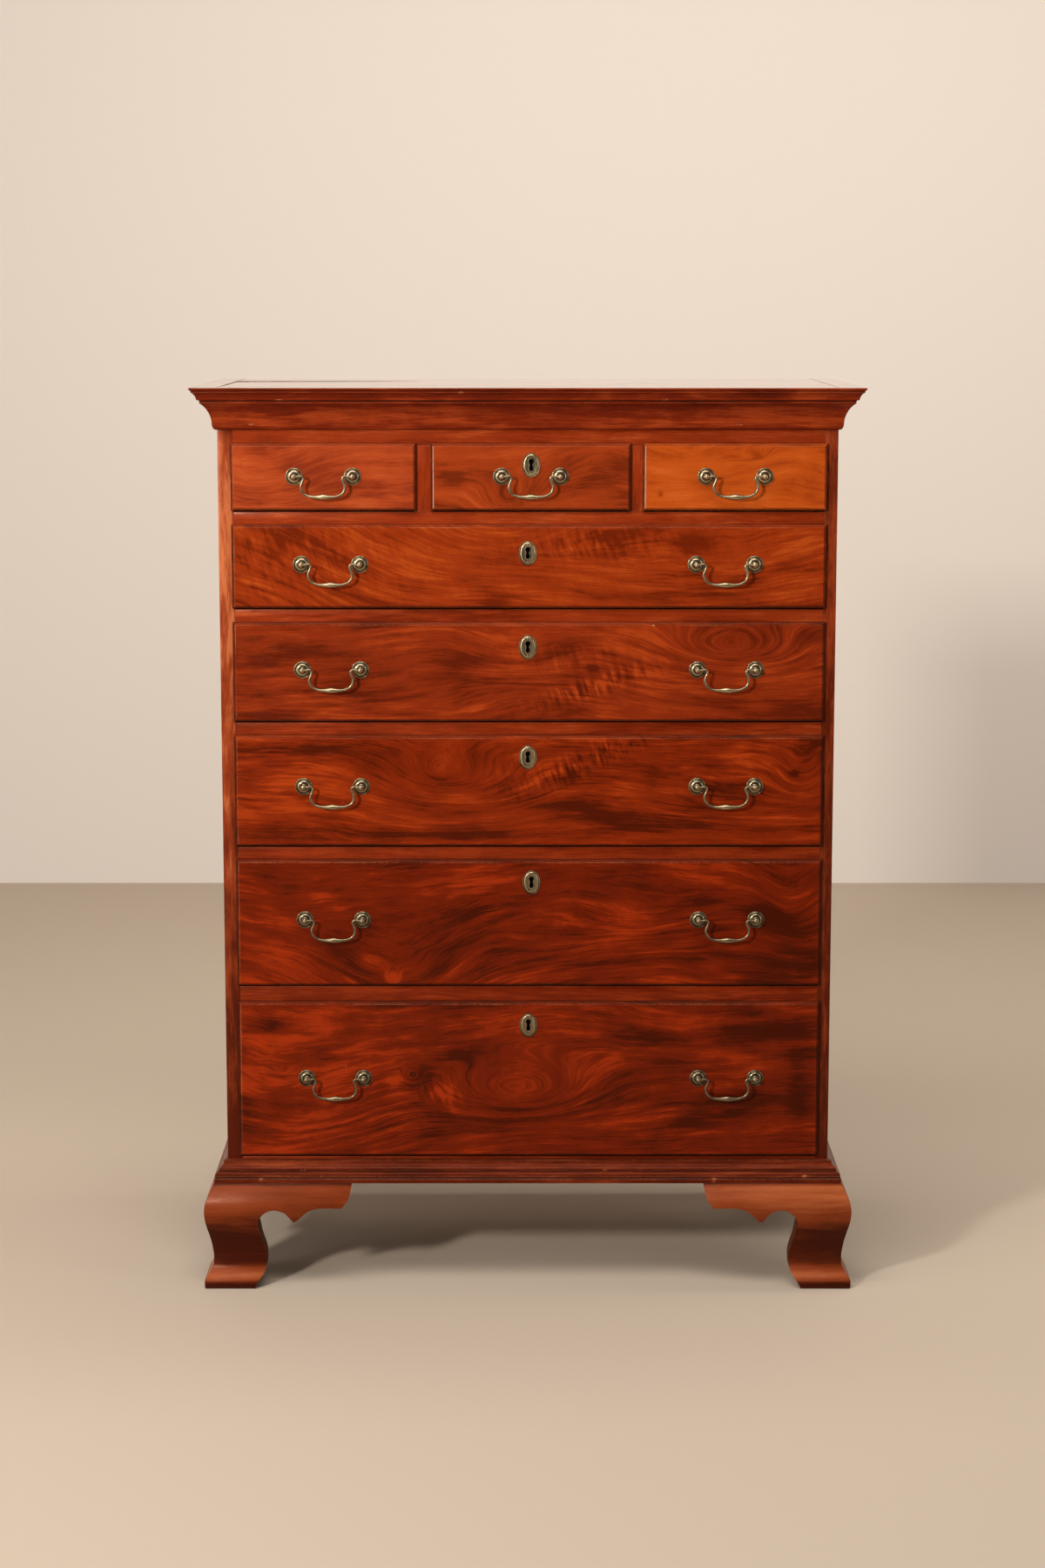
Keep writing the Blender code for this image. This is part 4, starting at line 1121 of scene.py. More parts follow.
# What each front's figure is like: dark, middle and bright reds, how far its rings wander, how strong its
# bands and clouds are, then its swirls, smoky places and rippled places. The reds darken down the rows,
# partly their own colour and partly painted shade, and on the lowest fronts smoky places paint shade on the
# right and light on the left
FRONTS = {
    "top_left": dict(
        reds=((0.210, 0.0230, 0.0060), (0.370, 0.0520, 0.0110), (0.490, 0.0900, 0.0200)),
        drift=0.05, contrast=0.75, clouds=0.34, roughness=0.36,
        swirls=((-0.40, 1.24, 0.09, 0.05, 0, 0.03),),
        smokes=(
            (-0.345, 1.272, 0.035, 0.013, 0, 0.30), (-0.405, 1.228, 0.05, 0.015, 0, 0.18),
            (-0.25, 1.245, 0.03, 0.02, 0, 0.12), (-0.235, 1.275, 0.05, 0.03, 0, -0.15),
        ),
    ),
    "top_middle": dict(
        reds=((0.150, 0.0170, 0.0035), (0.300, 0.0370, 0.0060), (0.410, 0.0600, 0.0110)),
        drift=0.04, contrast=0.85, clouds=0.28,
        swirls=((-0.030, 1.222, 0.06, 0.03, 20, 0.040), (0.11, 1.30, 0.10, 0.04, 0, -0.03)),
        smokes=((-0.112, 1.252, 0.018, 0.009, 0, 0.40), (0.10, 1.27, 0.06, 0.03, 0, 0.12)),
        ripples=((-0.04, 1.222, 0.04, 0.025, 0, 0.6),),
    ),
    "top_right": dict(
        reds=((0.300, 0.0390, 0.0045), (0.455, 0.0720, 0.0070), (0.540, 0.1020, 0.0140)),
        drift=0.04, contrast=0.95, clouds=0.30,
        swirls=(
            (0.24, 1.285, 0.08, 0.03, 0, 0.025), (0.40, 1.27, 0.06, 0.03, 0, -0.02),
            (0.345, 1.289, 0.03, 0.012, 0, 0.02),
        ),
        smokes=(
            (0.345, 1.289, 0.006, 0.004, 0, 0.6), (0.200, 1.232, 0.004, 0.004, 0, 0.6),
            (0.30, 1.296, 0.20, 0.012, 0, 0.14), (0.435, 1.25, 0.02, 0.05, 0, 0.16),
            (0.23, 1.235, 0.06, 0.02, 0, -0.12),
        ),
    ),
    "2": dict(
        reds=((0.140, 0.0130, 0.0019), (0.285, 0.0300, 0.0038), (0.425, 0.0620, 0.0074)),
        drift=0.07, contrast=0.85, clouds=0.26, ripple=0.15,
        swirls=(
            (-0.480, 1.12, 0.22, 50.0, 0, -0.13), (-0.045, 1.178, 0.12, 0.055, 0, 0.060),
            (0.22, 1.13, 0.20, 0.06, 0, 0.03),
        ),
        smokes=(
            (0.255, 1.160, 0.035, 0.016, -10, 0.35), (-0.050, 1.068, 0.02, 0.008, 0, 0.35),
            (-0.37, 1.165, 0.03, 0.022, 60, 0.28),
        ),
        ripples=((0.095, 1.158, 0.10, 0.022, 0, 1.3), (-0.37, 1.14, 0.13, 0.05, 0, 0.9)),
    ),
    "3": dict(
        reds=((0.105, 0.0100, 0.0020), (0.225, 0.0225, 0.0038), (0.385, 0.0480, 0.0068)),
        drift=0.05, contrast=0.90, clouds=0.30,
        swirls=(
            (0.311, 1.000, 0.100, 0.037, 0, 0.078), (-0.03, 0.985, 0.08, 0.035, 0, 0.030),
            (0.02, 0.93, 0.20, 0.05, -15, -0.03),
        ),
        smokes=(
            (-0.12, 0.975, 0.05, 0.022, 0, 0.25), (0.098, 0.968, 0.010, 0.006, 0, 0.55),
            (-0.39, 0.897, 0.05, 0.005, 0, 0.5), (-0.30, 0.95, 0.12, 0.03, 0, 0.15),
            (0.24, 0.925, 0.10, 0.012, -12, 0.2), (0.36, 0.98, 0.10, 0.06, 0, -0.14),
        ),
        ripples=((0.105, 0.943, 0.085, 0.014, 17, 3.0), (0.07, 0.985, 0.08, 0.022, 0, 0.9)),
    ),
    "4": dict(
        reds=((0.070, 0.0062, 0.0010), (0.205, 0.0175, 0.0022), (0.390, 0.0430, 0.0045)),
        drift=0.06, contrast=0.90, clouds=0.28, gloss=0.05,
        swirls=(
            (-0.114, 0.792, 0.13, 0.050, -6, 0.070), (0.31, 0.76, 0.15, 0.05, 0, 0.03),
            (0.42, 0.80, 0.05, 0.05, 30, 0.03),
        ),
        smokes=(
            (-0.36, 0.72, 0.09, 0.015, -5, 0.15), (-0.10, 0.712, 0.20, 0.010, 0, 0.35),
            (0.10, 0.745, 0.10, 0.018, -8, 0.25), (-0.41, 0.82, 0.04, 0.01, 0, 0.3),
            (0.24, 0.735, 0.05, 0.03, 0, 0.2), (0.407, 0.807, 0.007, 0.005, 0, 0.6),
            (-0.36, 0.79, 0.10, 0.05, 0, -0.10), (0.0, 0.79, 0.10, 0.03, 0, -0.18),
        ),
        ripples=((0.10, 0.832, 0.10, 0.018, 25, 2.2), (-0.02, 0.80, 0.04, 0.03, 0, 0.6)),
    ),
    "5": dict(
        reds=((0.052, 0.0046, 0.0008), (0.150, 0.0112, 0.0015), (0.320, 0.0265, 0.0030)),
        drift=0.06, contrast=0.85, clouds=0.26, gloss=0.05,
        swirls=(
            (-0.205, 0.472, 0.15, 0.11, 15, 0.115), (-0.2075, 0.489, 0.010, 0.010, 0, 0.03),
            (0.12, 0.56, 0.20, 0.05, 15, 0.045), (0.41, 0.60, 0.05, 0.08, 20, 0.04),
            (-0.40, 0.60, 0.12, 0.12, 0, 0.03),
        ),
        smokes=(
            (-0.16, 0.535, 0.05, 0.04, 30, 0.20), (-0.36, 0.62, 0.03, 0.02, 0, 0.18),
            (0.37, 0.59, 0.030, 0.03, 0, 0.25), (0.41, 0.52, 0.05, 0.07, 0, 0.28),
            (-0.39, 0.56, 0.05, 0.012, -10, 0.15), (0.0, 0.58, 0.08, 0.03, 0, 0.12),
            (-0.37, 0.56, 0.09, 0.10, 0, -0.14), (-0.2075, 0.489, 0.012, 0.010, 0, -0.5),
            (-0.38, 0.49, 0.08, 0.05, 0, -0.12),
        ),
    ),
    "6": dict(
        reds=((0.050, 0.0046, 0.0009), (0.150, 0.0115, 0.0016), (0.335, 0.0280, 0.0034)),
        drift=0.06, contrast=0.90, clouds=0.28, gloss=0.05,
        swirls=(
            (-0.011, 0.306, 0.110, 0.046, 0, 0.105), (-0.178, 0.335, 0.012, 0.010, 0, 0.035),
            (-0.150, 0.314, 0.012, 0.010, 0, -0.035), (-0.40, 0.24, 0.25, 0.15, 20, 0.085),
            (0.30, 0.42, 0.20, 0.06, 0, 0.03),
        ),
        smokes=(
            (-0.105, 0.365, 0.045, 0.016, 15, 0.32), (-0.40, 0.41, 0.05, 0.015, 10, 0.30),
            (0.36, 0.40, 0.06, 0.03, -10, 0.28), (0.42, 0.31, 0.018, 0.06, 0, 0.26),
            (-0.165, 0.330, 0.022, 0.020, 0, 0.32), (0.37, 0.30, 0.08, 0.03, 0, 0.16),
            (-0.208, 0.324, 0.012, 0.008, 0, -0.4), (-0.125, 0.305, 0.022, 0.014, 0, -0.3),
            (-0.14, 0.25, 0.03, 0.03, 40, 0.25), (-0.37, 0.32, 0.12, 0.10, 0, -0.26),
        ),
        ripples=((-0.125, 0.308, 0.035, 0.025, 0, 1.6),),
    ),
}
KEYHOLES = {
    "top_middle": (0.005, 1.2758), "2": (0.0, 1.1436), "3": (0.0, 1.0009), "4": (0.0, 0.8321),
    "5": (0.0056, 0.6383), "6": (0.001, 0.4139),
}
NO_KEYHOLE = (9.0, 9.0)
KEYHOLE_DEPTH = 0.008
KEY_MARGIN = 0.002
KEY_RIM = 0.0008
HIDDEN = 0.0001
KEYHOLE_SWELL = 0.0004
# The keyhole is a pocket whose walls and floor are near black: painted shade down the hole
KEYHOLE_SHADE = ((0.02, 0.012, 0.008), (0.012, 0.007, 0.005), (0.004, 0.003, 0.002))
KEY_ROUND = 0.0036
KEY_HEIGHT = 0.0180
# The lower half of a keyhole: height from the middle, half width
KEY_SKIRT = (
    (0.0012, 0.0019), (-0.0014, 0.0023), (-0.0042, 0.0030), (-0.0064, 0.0028), (-0.0081, 0.0018),
    (-0.0090, 0.0008),
)
# The dovetails at a box's corners: how far they keep from its edges, how far their cutters reach past them,
# and the gaps that leave them loose
TAIL_FLARE = 1.35
TAIL_PITCH = 0.040
TAIL_INSET = 0.002
TAIL_PAST = 0.001
TAIL_GAP = 0.0002
SOCKET_GAP = 0.0005
LAP = 0.0115
BOX_SIDE = 0.011
BOX_UNDER_TOP = 0.008

# Geometry nodes for a row of dovetails: flared blocks, evenly spaced up a board's end
tail_tree, given, result = group(
    "dovetails",
    {
        "Geometry": "Geometry", "Tails": "Int", "Height": "Float", "Width": "Float", "Depth": "Float",
        "Board": "Float", "Flare": "Float", "Finish": "Material",
    },
    {"Geometry": "Geometry"}, kind="GeometryNodeTree",
)
pitch = given["Height"].math("DIVIDE", given["Tails"])
column = signal(tail_tree, "GeometryNodeMeshLine", {
    "Count": given["Tails"], "Start Location": combined(tail_tree, 0.0, 0.0, pitch * 0.5),
    "Offset": combined(tail_tree, 0.0, 0.0, pitch),
})
size = combined(tail_tree, given["Board"], given["Depth"], given["Width"])
_, y, z = split(signal(tail_tree, "GeometryNodeInputPosition"))
tail = signal(tail_tree, "GeometryNodeSetPosition", {
    "Geometry": signal(tail_tree, "GeometryNodeMeshCube", {"Size": size}),
    "Selection": y.math("LESS_THAN", 0.0),
    "Offset": combined(tail_tree, 0.0, 0.0, z * (given["Flare"] - 1.0)),
})
set_out(column, tail, given["Finish"], result)


def dovetails(height, board, depth, at, finish, slack=0.0, width=0.5, turn=0.0):
    """A row of dovetails up a board's end, as a mesh. Each flares towards -Y from the middle of its depth."""
    count = max(2, round(height / TAIL_PITCH))
    made = grown("tails", bpy.data.meshes.new("tails"), tail_tree, {
        "Tails": count, "Height": height, "Width": width * height / count + slack, "Depth": depth,
        "Board": board, "Flare": TAIL_FLARE, "Finish": finish,
    })
    made.transform(Matrix.Translation(at) @ Matrix.Rotation(turn, 4, "Z"))
    return made


def front_height(inset):
    """How far the front stands off the case at a distance in from its edge."""
    if inset <= THUMB:
        return LIP_EDGE + (THUMB_TOP - LIP_EDGE) * math.sqrt(max(0.0, 1 - (1 - inset / THUMB) ** 2))
    if inset <= STEP_AT:
        return THUMB_TOP
    if inset <= STEP_AT + STEP_RUN:
        return THUMB_TOP + (FACE - THUMB_TOP) * STEP_SHARP * (inset - STEP_AT) / STEP_RUN
    return FACE


def keyhole_line(x, z, swell=0.0, count=48):
    """The outline of a keyhole: a round eye over a flared skirt, as points an equal way apart."""
    eye_z = z + KEY_HEIGHT / 2 - KEY_ROUND
    sweep = [math.radians(-50 + 280 * i / 30) for i in range(31)]
    line = [(x + KEY_ROUND * math.cos(a), eye_z + KEY_ROUND * math.sin(a)) for a in sweep]
    line += [(x - wide, z + high) for high, wide in KEY_SKIRT]
    line += [(x + wide, z + high) for high, wide in reversed(KEY_SKIRT)]
    middle = Vector((x, z))
    line = [Vector(point) for point in line]
    line = [point + (point - middle).normalized() * swell for point in line]
    total = sum((line[i] - line[i - 1]).length for i in range(len(line)))
    line.append(line[0])
    evened, i, passed = [], 1, 0.0
    for step in range(count):
        target = total * step / count
        while passed + (line[i] - line[i - 1]).length < target:
            passed += (line[i] - line[i - 1]).length
            i += 1
        leg = line[i] - line[i - 1]
        evened.append(tuple(line[i - 1] + leg * ((target - passed) / max(leg.length, 1e-9))))
    return evened


def front_board(name, left, right, under, over, body_x, body_z, seed):
    """A lipped front, whose body steps in behind the lip to stand in its opening."""

    def lined(start, end):
        middle = spaced(start + INSETS[-1], end - INSETS[-1], FACE_STEP)
        near = INSETS[:-1]
        return [start + inset for inset in near] + middle + [end - inset for inset in reversed(near)]

    def inset_of(x, z):
        return min(x - left, right - x, z - under, over - z)

    def face_height(x, z):
        inset = inset_of(x, z)
        wave = noise.noise(Vector((x * 4, z * 7, seed))) - 0.7
        ripple = noise.noise(Vector((x * 45, z * 45, seed))) - 0.5
        return front_height(inset) + FACE_WAVE * wave * min(1.0, inset / WAVE_FADE) + UNEVEN * ripple

    def edge_marks(x, z):
        inset = inset_of(x, z)
        above, beside = inset == over - z, inset == x - left
        # A painted highlight on the shoulder of the top and left edges, where light falls, and painted shade
        # with some dirt along the lip, widest at the sides and bottom
        if SHOULDER[0] < inset < SHOULDER[1]:
            return (0.9 if beside else 0.6, 0.0, 0.9) if above or beside else (0.1, 0.1, 0.0)
        dirt_and_shade, thinned = (TOP_DIRT_AND_SHADE, 0.35) if above else (SIDE_DIRT_AND_SHADE, 0.55)
        return 0.0, 0.95 if inset < dirt_and_shade else thinned if inset < SHOULDER[0] else 0.0, 0.0

    def clamped(x, z, y):
        return min(max(x, body_x[0]), body_x[1]), min(max(z, body_z[0]), body_z[1]), y

    rings = [
        lambda x, z: (x, z, SEAT), lambda x, z: clamped(x, z, SEAT), lambda x, z: clamped(x, z, -IN_OPENING),
    ]
    return solid(f"front_{name}", *plate(
        lined(left, right), lined(under, over), face_height, rings,
        lambda x, z, out: (x, CASE_FRONT - out, z), edge_marks, fold=len(INSETS) - 1,
    ))


raw_wood = mahogany(
    "unpolished_mahogany", RAW_RED, drift=0.04, clouds=0.1, contrast=0.7, roughness=0.65, gloss=0.0, seed=12,
)
# A pale red that paints the highlight on the thumb mould of two fronts
painted_highlight = mahogany("painted_highlight", HIGHLIGHT_RED, grain="Z", contrast=0.5, gloss=0.3, seed=21)
keyhole_shade = metal("keyhole_shade", KEYHOLE_SHADE, 0.8, 0.0)
face_y = CASE_FRONT - FACE
inside_y = CASE_FRONT + IN_OPENING
front_places = {}
for name, look in FRONTS.items():
    low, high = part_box(f"drawer_front_{name}")
    left, right, under, over = low.x, high.x, low.z + EDGE_GONE, high.z
    floor_z, ceiling = low.z - UNDER, over - LIP
    body_x = (left + LIP + SIDE_CLEAR, right - LIP - SIDE_CLEAR)
    tail_height = ceiling - floor_z - BOX_UNDER_TOP - 2 * TAIL_INSET
    front_places[name] = (body_x, floor_z, ceiling, tail_height)
    seed = 1.0 + len(front_places)
    board = front_board(name, left, right, under, over, body_x, (under + SEAT, ceiling - TOP_CLEAR), seed)
    tools = []
    for x in body_x:
        at = (x, inside_y - LAP / 2 + SOCKET_GAP, floor_z + TAIL_INSET)
        tools.append(dovetails(tail_height, 2 * BOX_SIDE, LAP + TAIL_PAST, at, raw_wood, slack=SEAT))
    if name in KEYHOLES:
        hole = keyhole_line(*KEYHOLES[name], swell=KEYHOLE_SWELL)
        hole = prism(hole, lambda a, b, y: (a, y, b), face_y - KEY_MARGIN, face_y + KEYHOLE_DEPTH)
        tools.append(solid("keyhole", *hole))
    board = cut(f"front_{name}", board, tools)
    key_x, key_z = KEYHOLES.get(name, NO_KEYHOLE)
    for polygon in board.polygons:
        x, y, z = polygon.center
        near_key = abs(x - key_x) < KEY_ROUND + KEY_MARGIN and abs(z - key_z) < KEY_HEIGHT / 2 + KEY_MARGIN
        on_face = under + INSETS[-1] / 2 < z < over - INSETS[-1] / 2
        # The keyhole pocket takes the near-black finish, as painted shade
        if near_key and y > face_y + KEY_RIM:
            polygon.material_index = 1
        elif y > CASE_FRONT - HIDDEN:
            polygon.material_index = 2
        elif name in PAINTED_HIGHLIGHT_FRONTS and on_face and HIGHLIGHT_BAND[0] < x - left < HIGHLIGHT_BAND[1]:
            polygon.material_index = 3
    face_wood = mahogany(f"front_{name}_mahogany", seed=seed, **look)
    slot = "light_mahogany" if name == "top_right" else "mahogany"
    finishes = (face_wood, keyhole_shade, raw_wood, painted_highlight)[:4 if name in PAINTED_HIGHLIGHT_FRONTS else 3]
    part(f"front_{name}", smoothed(board), f"drawer_{name}", slot, finishes, f"drawer_front_{name}")

# Drawer boxes: thin pine sides, back and bottom, dovetailed at the corners. The tails of the sides are let
# into the front, the back sits between the sides, and the bottom is slid into grooves and nailed up.
BOX_BACK = 0.010
BOX_BOTTOM = 0.008
BOTTOM_RAISED = 0.006
BACK_LOW = 0.004
BACK_BOARD = 0.012
BEHIND_BOX = 0.012
BOX_REAR = CASE_BACK - BACK_BOARD - BEHIND_BOX
BOX_ARRIS = 0.0005
PANEL_ARRIS = 0.0006
FITTED = 0.0001
PIN_WIDTH = 0.34
PINS_SHORT = 0.008
BOX_PINE = ((0.230, 0.125, 0.055), (0.400, 0.250, 0.125), (0.500, 0.330, 0.175))
side_pine = pine("drawer_side_pine", BOX_PINE, grain="Y", saw=0.15, seed=13)
cross_pine = pine("drawer_back_pine", BOX_PINE, saw=0.15, seed=14)


def joined(name, *meshes):
    """Several meshes as one."""
    bm = bmesh.new()
    for mesh in meshes:
        bm.from_mesh(mesh)
    made = bpy.data.meshes.new(name)
    bm.to_mesh(made)
    bm.free()
    return smoothed(made)


for name, (body_x, floor_z, ceiling, tail_height) in front_places.items():
    body = f"drawer_{name}"
    box_front = inside_y + SEAT
    low_z, high_z = floor_z + SEAT, ceiling - BOX_UNDER_TOP
    panel_z = (low_z + BOTTOM_RAISED, low_z + BOTTOM_RAISED + BOX_BOTTOM)
    pin_z = panel_z[1] + TAIL_INSET
    pin_height = high_z - panel_z[1] - PINS_SHORT
    pins = []
    for side, outer, hand in (("left", body_x[0], 1), ("right", body_x[1], -1)):
        centre = outer + hand * BOX_SIDE / 2
        tail_at = (centre, inside_y - LAP / 2 + TAIL_GAP, floor_z + TAIL_INSET)
        tails = dovetails(tail_height, BOX_SIDE - TAIL_GAP, LAP + TAIL_PAST, tail_at, side_pine)
        pin_look = dict(width=PIN_WIDTH, turn=hand * math.pi / 2)
        sockets = dovetails(
            pin_height, BOX_BACK + 2 * TAIL_INSET, BOX_SIDE + TAIL_PAST,
            (centre, BOX_REAR - BOX_BACK / 2 + SOCKET_GAP, pin_z), side_pine, slack=SEAT, **pin_look,
        )
        pin_at = (centre, BOX_REAR - BOX_BACK / 2, pin_z)
        pins.append(dovetails(pin_height, BOX_BACK, BOX_SIDE - TAIL_GAP, pin_at, cross_pine, **pin_look))
        board = block(sorted((outer, outer + hand * BOX_SIDE)), (box_front, BOX_REAR), (low_z, high_z))
        board = cut(f"box_side_{side}_{name}", board, [sockets])
        board = joined(f"box_side_{side}_{name}", rounded(board, BOX_ARRIS), tails)
        nodes = [f"drawer_box_{name}"] if side == "left" else []
        part(f"box_side_{side}_{name}", board, body, "pine", (side_pine,) * 2, *nodes)
    between = (body_x[0] + BOX_SIDE + FITTED, body_x[1] - BOX_SIDE - FITTED)
    back = block(between, (BOX_REAR - BOX_BACK, BOX_REAR), (panel_z[1] + 2 * FITTED, high_z - BACK_LOW))
    back = joined(f"box_back_{name}", rounded(back, BOX_ARRIS), *pins)
    part(f"box_back_{name}", back, body, "pine", (cross_pine,) * 2)
    bottom = rounded(block(between, (box_front + FITTED, BOX_REAR), panel_z), PANEL_ARRIS)
    part(f"box_bottom_{name}", bottom, body, "pine", (cross_pine,) * 2)

# Pulls: a turned rosette and a post with a ball head at each side of a swan-neck bail, cast in yellow brass
# that has gone olive brown. The posts are bolted through the front, and their nuts show inside the drawer.
BORE = 0.088
AXIS_OUT = 0.0125
BAIL_DROP = 0.0308
WIRE = 0.0024
BAIL_SIDES = 14
# The rosette and its post from the wood outwards, and the nut: radius, height, worn, grime
ROSETTE = (
    (0.0130, -0.0005, 0, 1), (0.0130, 0.0004, 0.2, 0.5), (0.0129, 0.0009, 0.9, 0), (0.0126, 0.0011, 0.9, 0),
    (0.0123, 0.0010, 0.4, 0.2), (0.0120, 0.0006, 0, 1), (0.0118, 0.0006, 0, 0.9),
    (0.0115, 0.0011, 0.6, 0.1), (0.0112, 0.0013, 0.7, 0), (0.0109, 0.0011, 0.2, 0.4),
    (0.0106, 0.0008, 0, 1), (0.0102, 0.0009, 0, 1), (0.0099, 0.0018, 0.2, 0.4), (0.0094, 0.0026, 0.6, 0),
    (0.0086, 0.0033, 0.5, 0), (0.0076, 0.0038, 0.4, 0), (0.0066, 0.0041, 0.3, 0),
    (0.0058, 0.0042, 0.1, 0.3), (0.0054, 0.0041, 0, 0.8), (0.0050, 0.0040, 0, 1), (0.0046, 0.0042, 0, 1),
    (0.0043, 0.0047, 0.5, 0), (0.0038, 0.0052, 0.4, 0), (0.0029, 0.0057, 0, 0.5), (0.0027, 0.0068, 0, 0.4),
    (0.0029, 0.0078, 0.2, 0.1), (0.0036, 0.0083, 0.6, 0), (0.0037, 0.0087, 0.6, 0),
    (0.0031, 0.0091, 0, 0.6), (0.0032, 0.0096, 0.1, 0.2), (0.0038, 0.0106, 0.4, 0),
    (0.0042, 0.0118, 0.6, 0), (0.0043, 0.0128, 0.7, 0), (0.0041, 0.0139, 0.7, 0), (0.0036, 0.0149, 0.8, 0),
    (0.0028, 0.0157, 0.8, 0), (0.0019, 0.0161, 0.2, 0.5), (0.0015, 0.0162, 0, 0.8),
    (0.0017, 0.0166, 0.6, 0), (0.0017, 0.0170, 1, 0), (0.0012, 0.0174, 1, 0), (0.0, 0.0175, 1, 0),
)
NUT = (
    (0.0, -0.003, 0, 0), (0.0052, -0.003, 0, 0.5), (0.0052, 0.0012, 0.2, 0), (0.0046, 0.0019, 0.5, 0),
    (0.0024, 0.0019, 0.1, 0.5), (0.0020, 0.0036, 0.5, 0), (0.0, 0.0038, 0.5, 0),
)
# Half of the bail, from a pin inwards: shares of the way along and of the drop, thickness, 1 at a sharp turn
BAIL = (
    (1.01, 0.0, 0.95, 0), (0.93, 0.0, 0.90, 0), (0.85, -0.01, 0.82, 0), (0.775, -0.035, 0.76, 0),
    (0.715, -0.02, 0.74, 0), (0.672, 0.05, 0.74, 0), (0.672, 0.14, 0.76, 0), (0.700, 0.25, 0.80, 0),
    (0.735, 0.37, 0.84, 0), (0.752, 0.50, 0.86, 0), (0.742, 0.62, 0.85, 0), (0.700, 0.74, 0.83, 0),
    (0.632, 0.84, 0.82, 0), (0.54, 0.915, 0.84, 0), (0.43, 0.965, 0.90, 0), (0.32, 0.985, 1.05, 0),
    (0.22, 0.99, 1.25, 0), (0.13, 0.99, 1.45, 0), (0.06, 0.985, 1.60, 0), (0.0, 0.98, 1.66, 0),
)
# The grip is ridged and flattened by these shares of its thickness
RIDGE = 0.10
FLATTENED = 0.12
BRASS = ((0.43, 0.335, 0.195), (0.120, 0.092, 0.058), (0.010, 0.007, 0.005))
# Where each bail's middle is, and its drawer
PULLS = {
    "top_left": (-0.30775, 1.2589, "top_left"), "top_middle": (0.00465, 1.2589, "top_middle"),
    "top_right": (0.31215, 1.2589, "top_right"),
    "2_left": (-0.298, 1.1266, "2"), "2_right": (0.2984, 1.1266, "2"),
    "3_left": (-0.298, 0.9666, "3"), "3_right": (0.3015, 0.9666, "3"),
    "4_left": (-0.298, 0.7874, "4"), "4_right": (0.3024, 0.7874, "4"),
    "5_left": (-0.298, 0.5802, "5"), "5_right": (0.3063, 0.5802, "5"),
    "6_left": (-0.298, 0.3301, "6"), "6_right": (0.3080, 0.3301, "6"),
}
# Painted light: the brass is darker near the floor and brighter high on the chest
brass = metal("old_brass", BRASS, 0.30, 1.0, low=0.80, high=1.40)
rosette = solid("rosette", *turned(((0.0, -0.0005, 0, 0),) + ROSETTE, 40), angle=60)
nut = solid("nut", *turned(NUT, 14))
nut.transform(Matrix.Rotation(math.pi, 4, "Z"))


def bail_mesh():
    """The bail about its pins' axis: a tapering wire bent into two swan necks, swelling to a grip."""
    line = [(x * BORE / 2, -drop * BAIL_DROP, swell) for x, drop, swell, _ in flowing(BAIL, 5)]
    line += [(-x, z, swell) for x, z, swell in reversed(line[:-1])]
    verts, values = [], []
    for i, (x, z, swell) in enumerate(line):
        before, after = line[max(0, i - 1)], line[min(len(line) - 1, i + 1)]
        run = Vector((after[0] - before[0], after[1] - before[1])).normalized()
        grip = max(0.0, swell - 1.1) / 0.6
        for s in range(BAIL_SIDES):
            turn = math.tau * s / BAIL_SIDES
            across, out = math.cos(turn), math.sin(turn)
            wide = WIRE * swell * (1 + RIDGE * grip * abs(math.cos(2 * turn)))
            flat = 1 - FLATTENED * grip
            verts.append((x - run.y * across * wide, -out * wide * flat, z + run.x * across * wide))
            rubbed_and_highlight = min(1.0, max(0.0, 0.05 + 0.5 * grip + 0.35 * out))
            values.append((rubbed_and_highlight, 0.8 if abs(x) > 0.9 * BORE / 2 else 0.0, rubbed_and_highlight))
    return solid("bail", verts, capped(len(line), BAIL_SIDES), values, angle=60)


bail = bail_mesh()
for name in front_places:
    posts = [
        (x + side * BORE / 2, z) for x, z, drawer in PULLS.values() if drawer == name for side in (-1, 1)
    ]
    for kind, pattern, y, seed in (("rosettes", rosette, face_y, 3), ("nuts", nut, inside_y, 4)):
        copies = spread(f"{kind}_{name}", pattern, [(x, y, z) for x, z in posts], brass, seed=seed, turn=3.0)
        part(f"{kind}_{name}", copies, f"drawer_{name}", "brass", (brass,))
for name, (x, z, drawer) in PULLS.items():
    mesh = bail.copy()
    mesh.transform(Matrix.Translation((x, face_y - AXIS_OUT, z)))
    part(f"swan_bail_{name}", mesh, f"pull_{name}", "brass", (brass,), f"bail_{name}")

# Keyhole plates: cast brass ovals with a raised rim and a domed field, pinned over each keyhole, and behind
# each one an iron lock let into the back of the drawer front, with its bolt just under the rail.
PLATE_WIDE = 0.0275
PLATE_HIGH = 0.0370
PLATE_SIDES = 72
# From the rim inwards: share of the way to the keyhole, height, worn, grime
PLATE_RINGS = (
    (0.0, -0.0004, 0, 1), (0.0, 0.0004, 0.3, 0.4), (0.02, 0.0010, 1, 0), (0.06, 0.0014, 1, 0),
    (0.11, 0.0013, 0.8, 0), (0.15, 0.0008, 0, 0.9), (0.19, 0.0007, 0, 1), (0.24, 0.0012, 0.9, 0),
    (0.30, 0.0017, 1, 0), (0.38, 0.0019, 1, 0), (0.52, 0.0017, 0.8, 0), (0.72, 0.0014, 0.6, 0.1),
    (0.86, 0.0015, 0.8, 0), (0.94, 0.0016, 1, 0), (1.0, 0.0010, 0.3, 0.4), (1.0, -0.0004, 0, 1),
)
PIN_AT = 0.0132
PIN_SUNK = 0.0008
PIN = (
    (0.0, 0.0, 0, 1), (0.0014, 0.0, 0, 1), (0.0013, 0.0014, 1, 0), (0.0008, 0.0021, 1, 0),
    (0.0, 0.0023, 1, 0),
)
LOCK = (0.058, 0.0060, 0.036)
LOCK_UNDER_KEY = 0.010
BOLT = (0.016, 0.0040, 0.006)
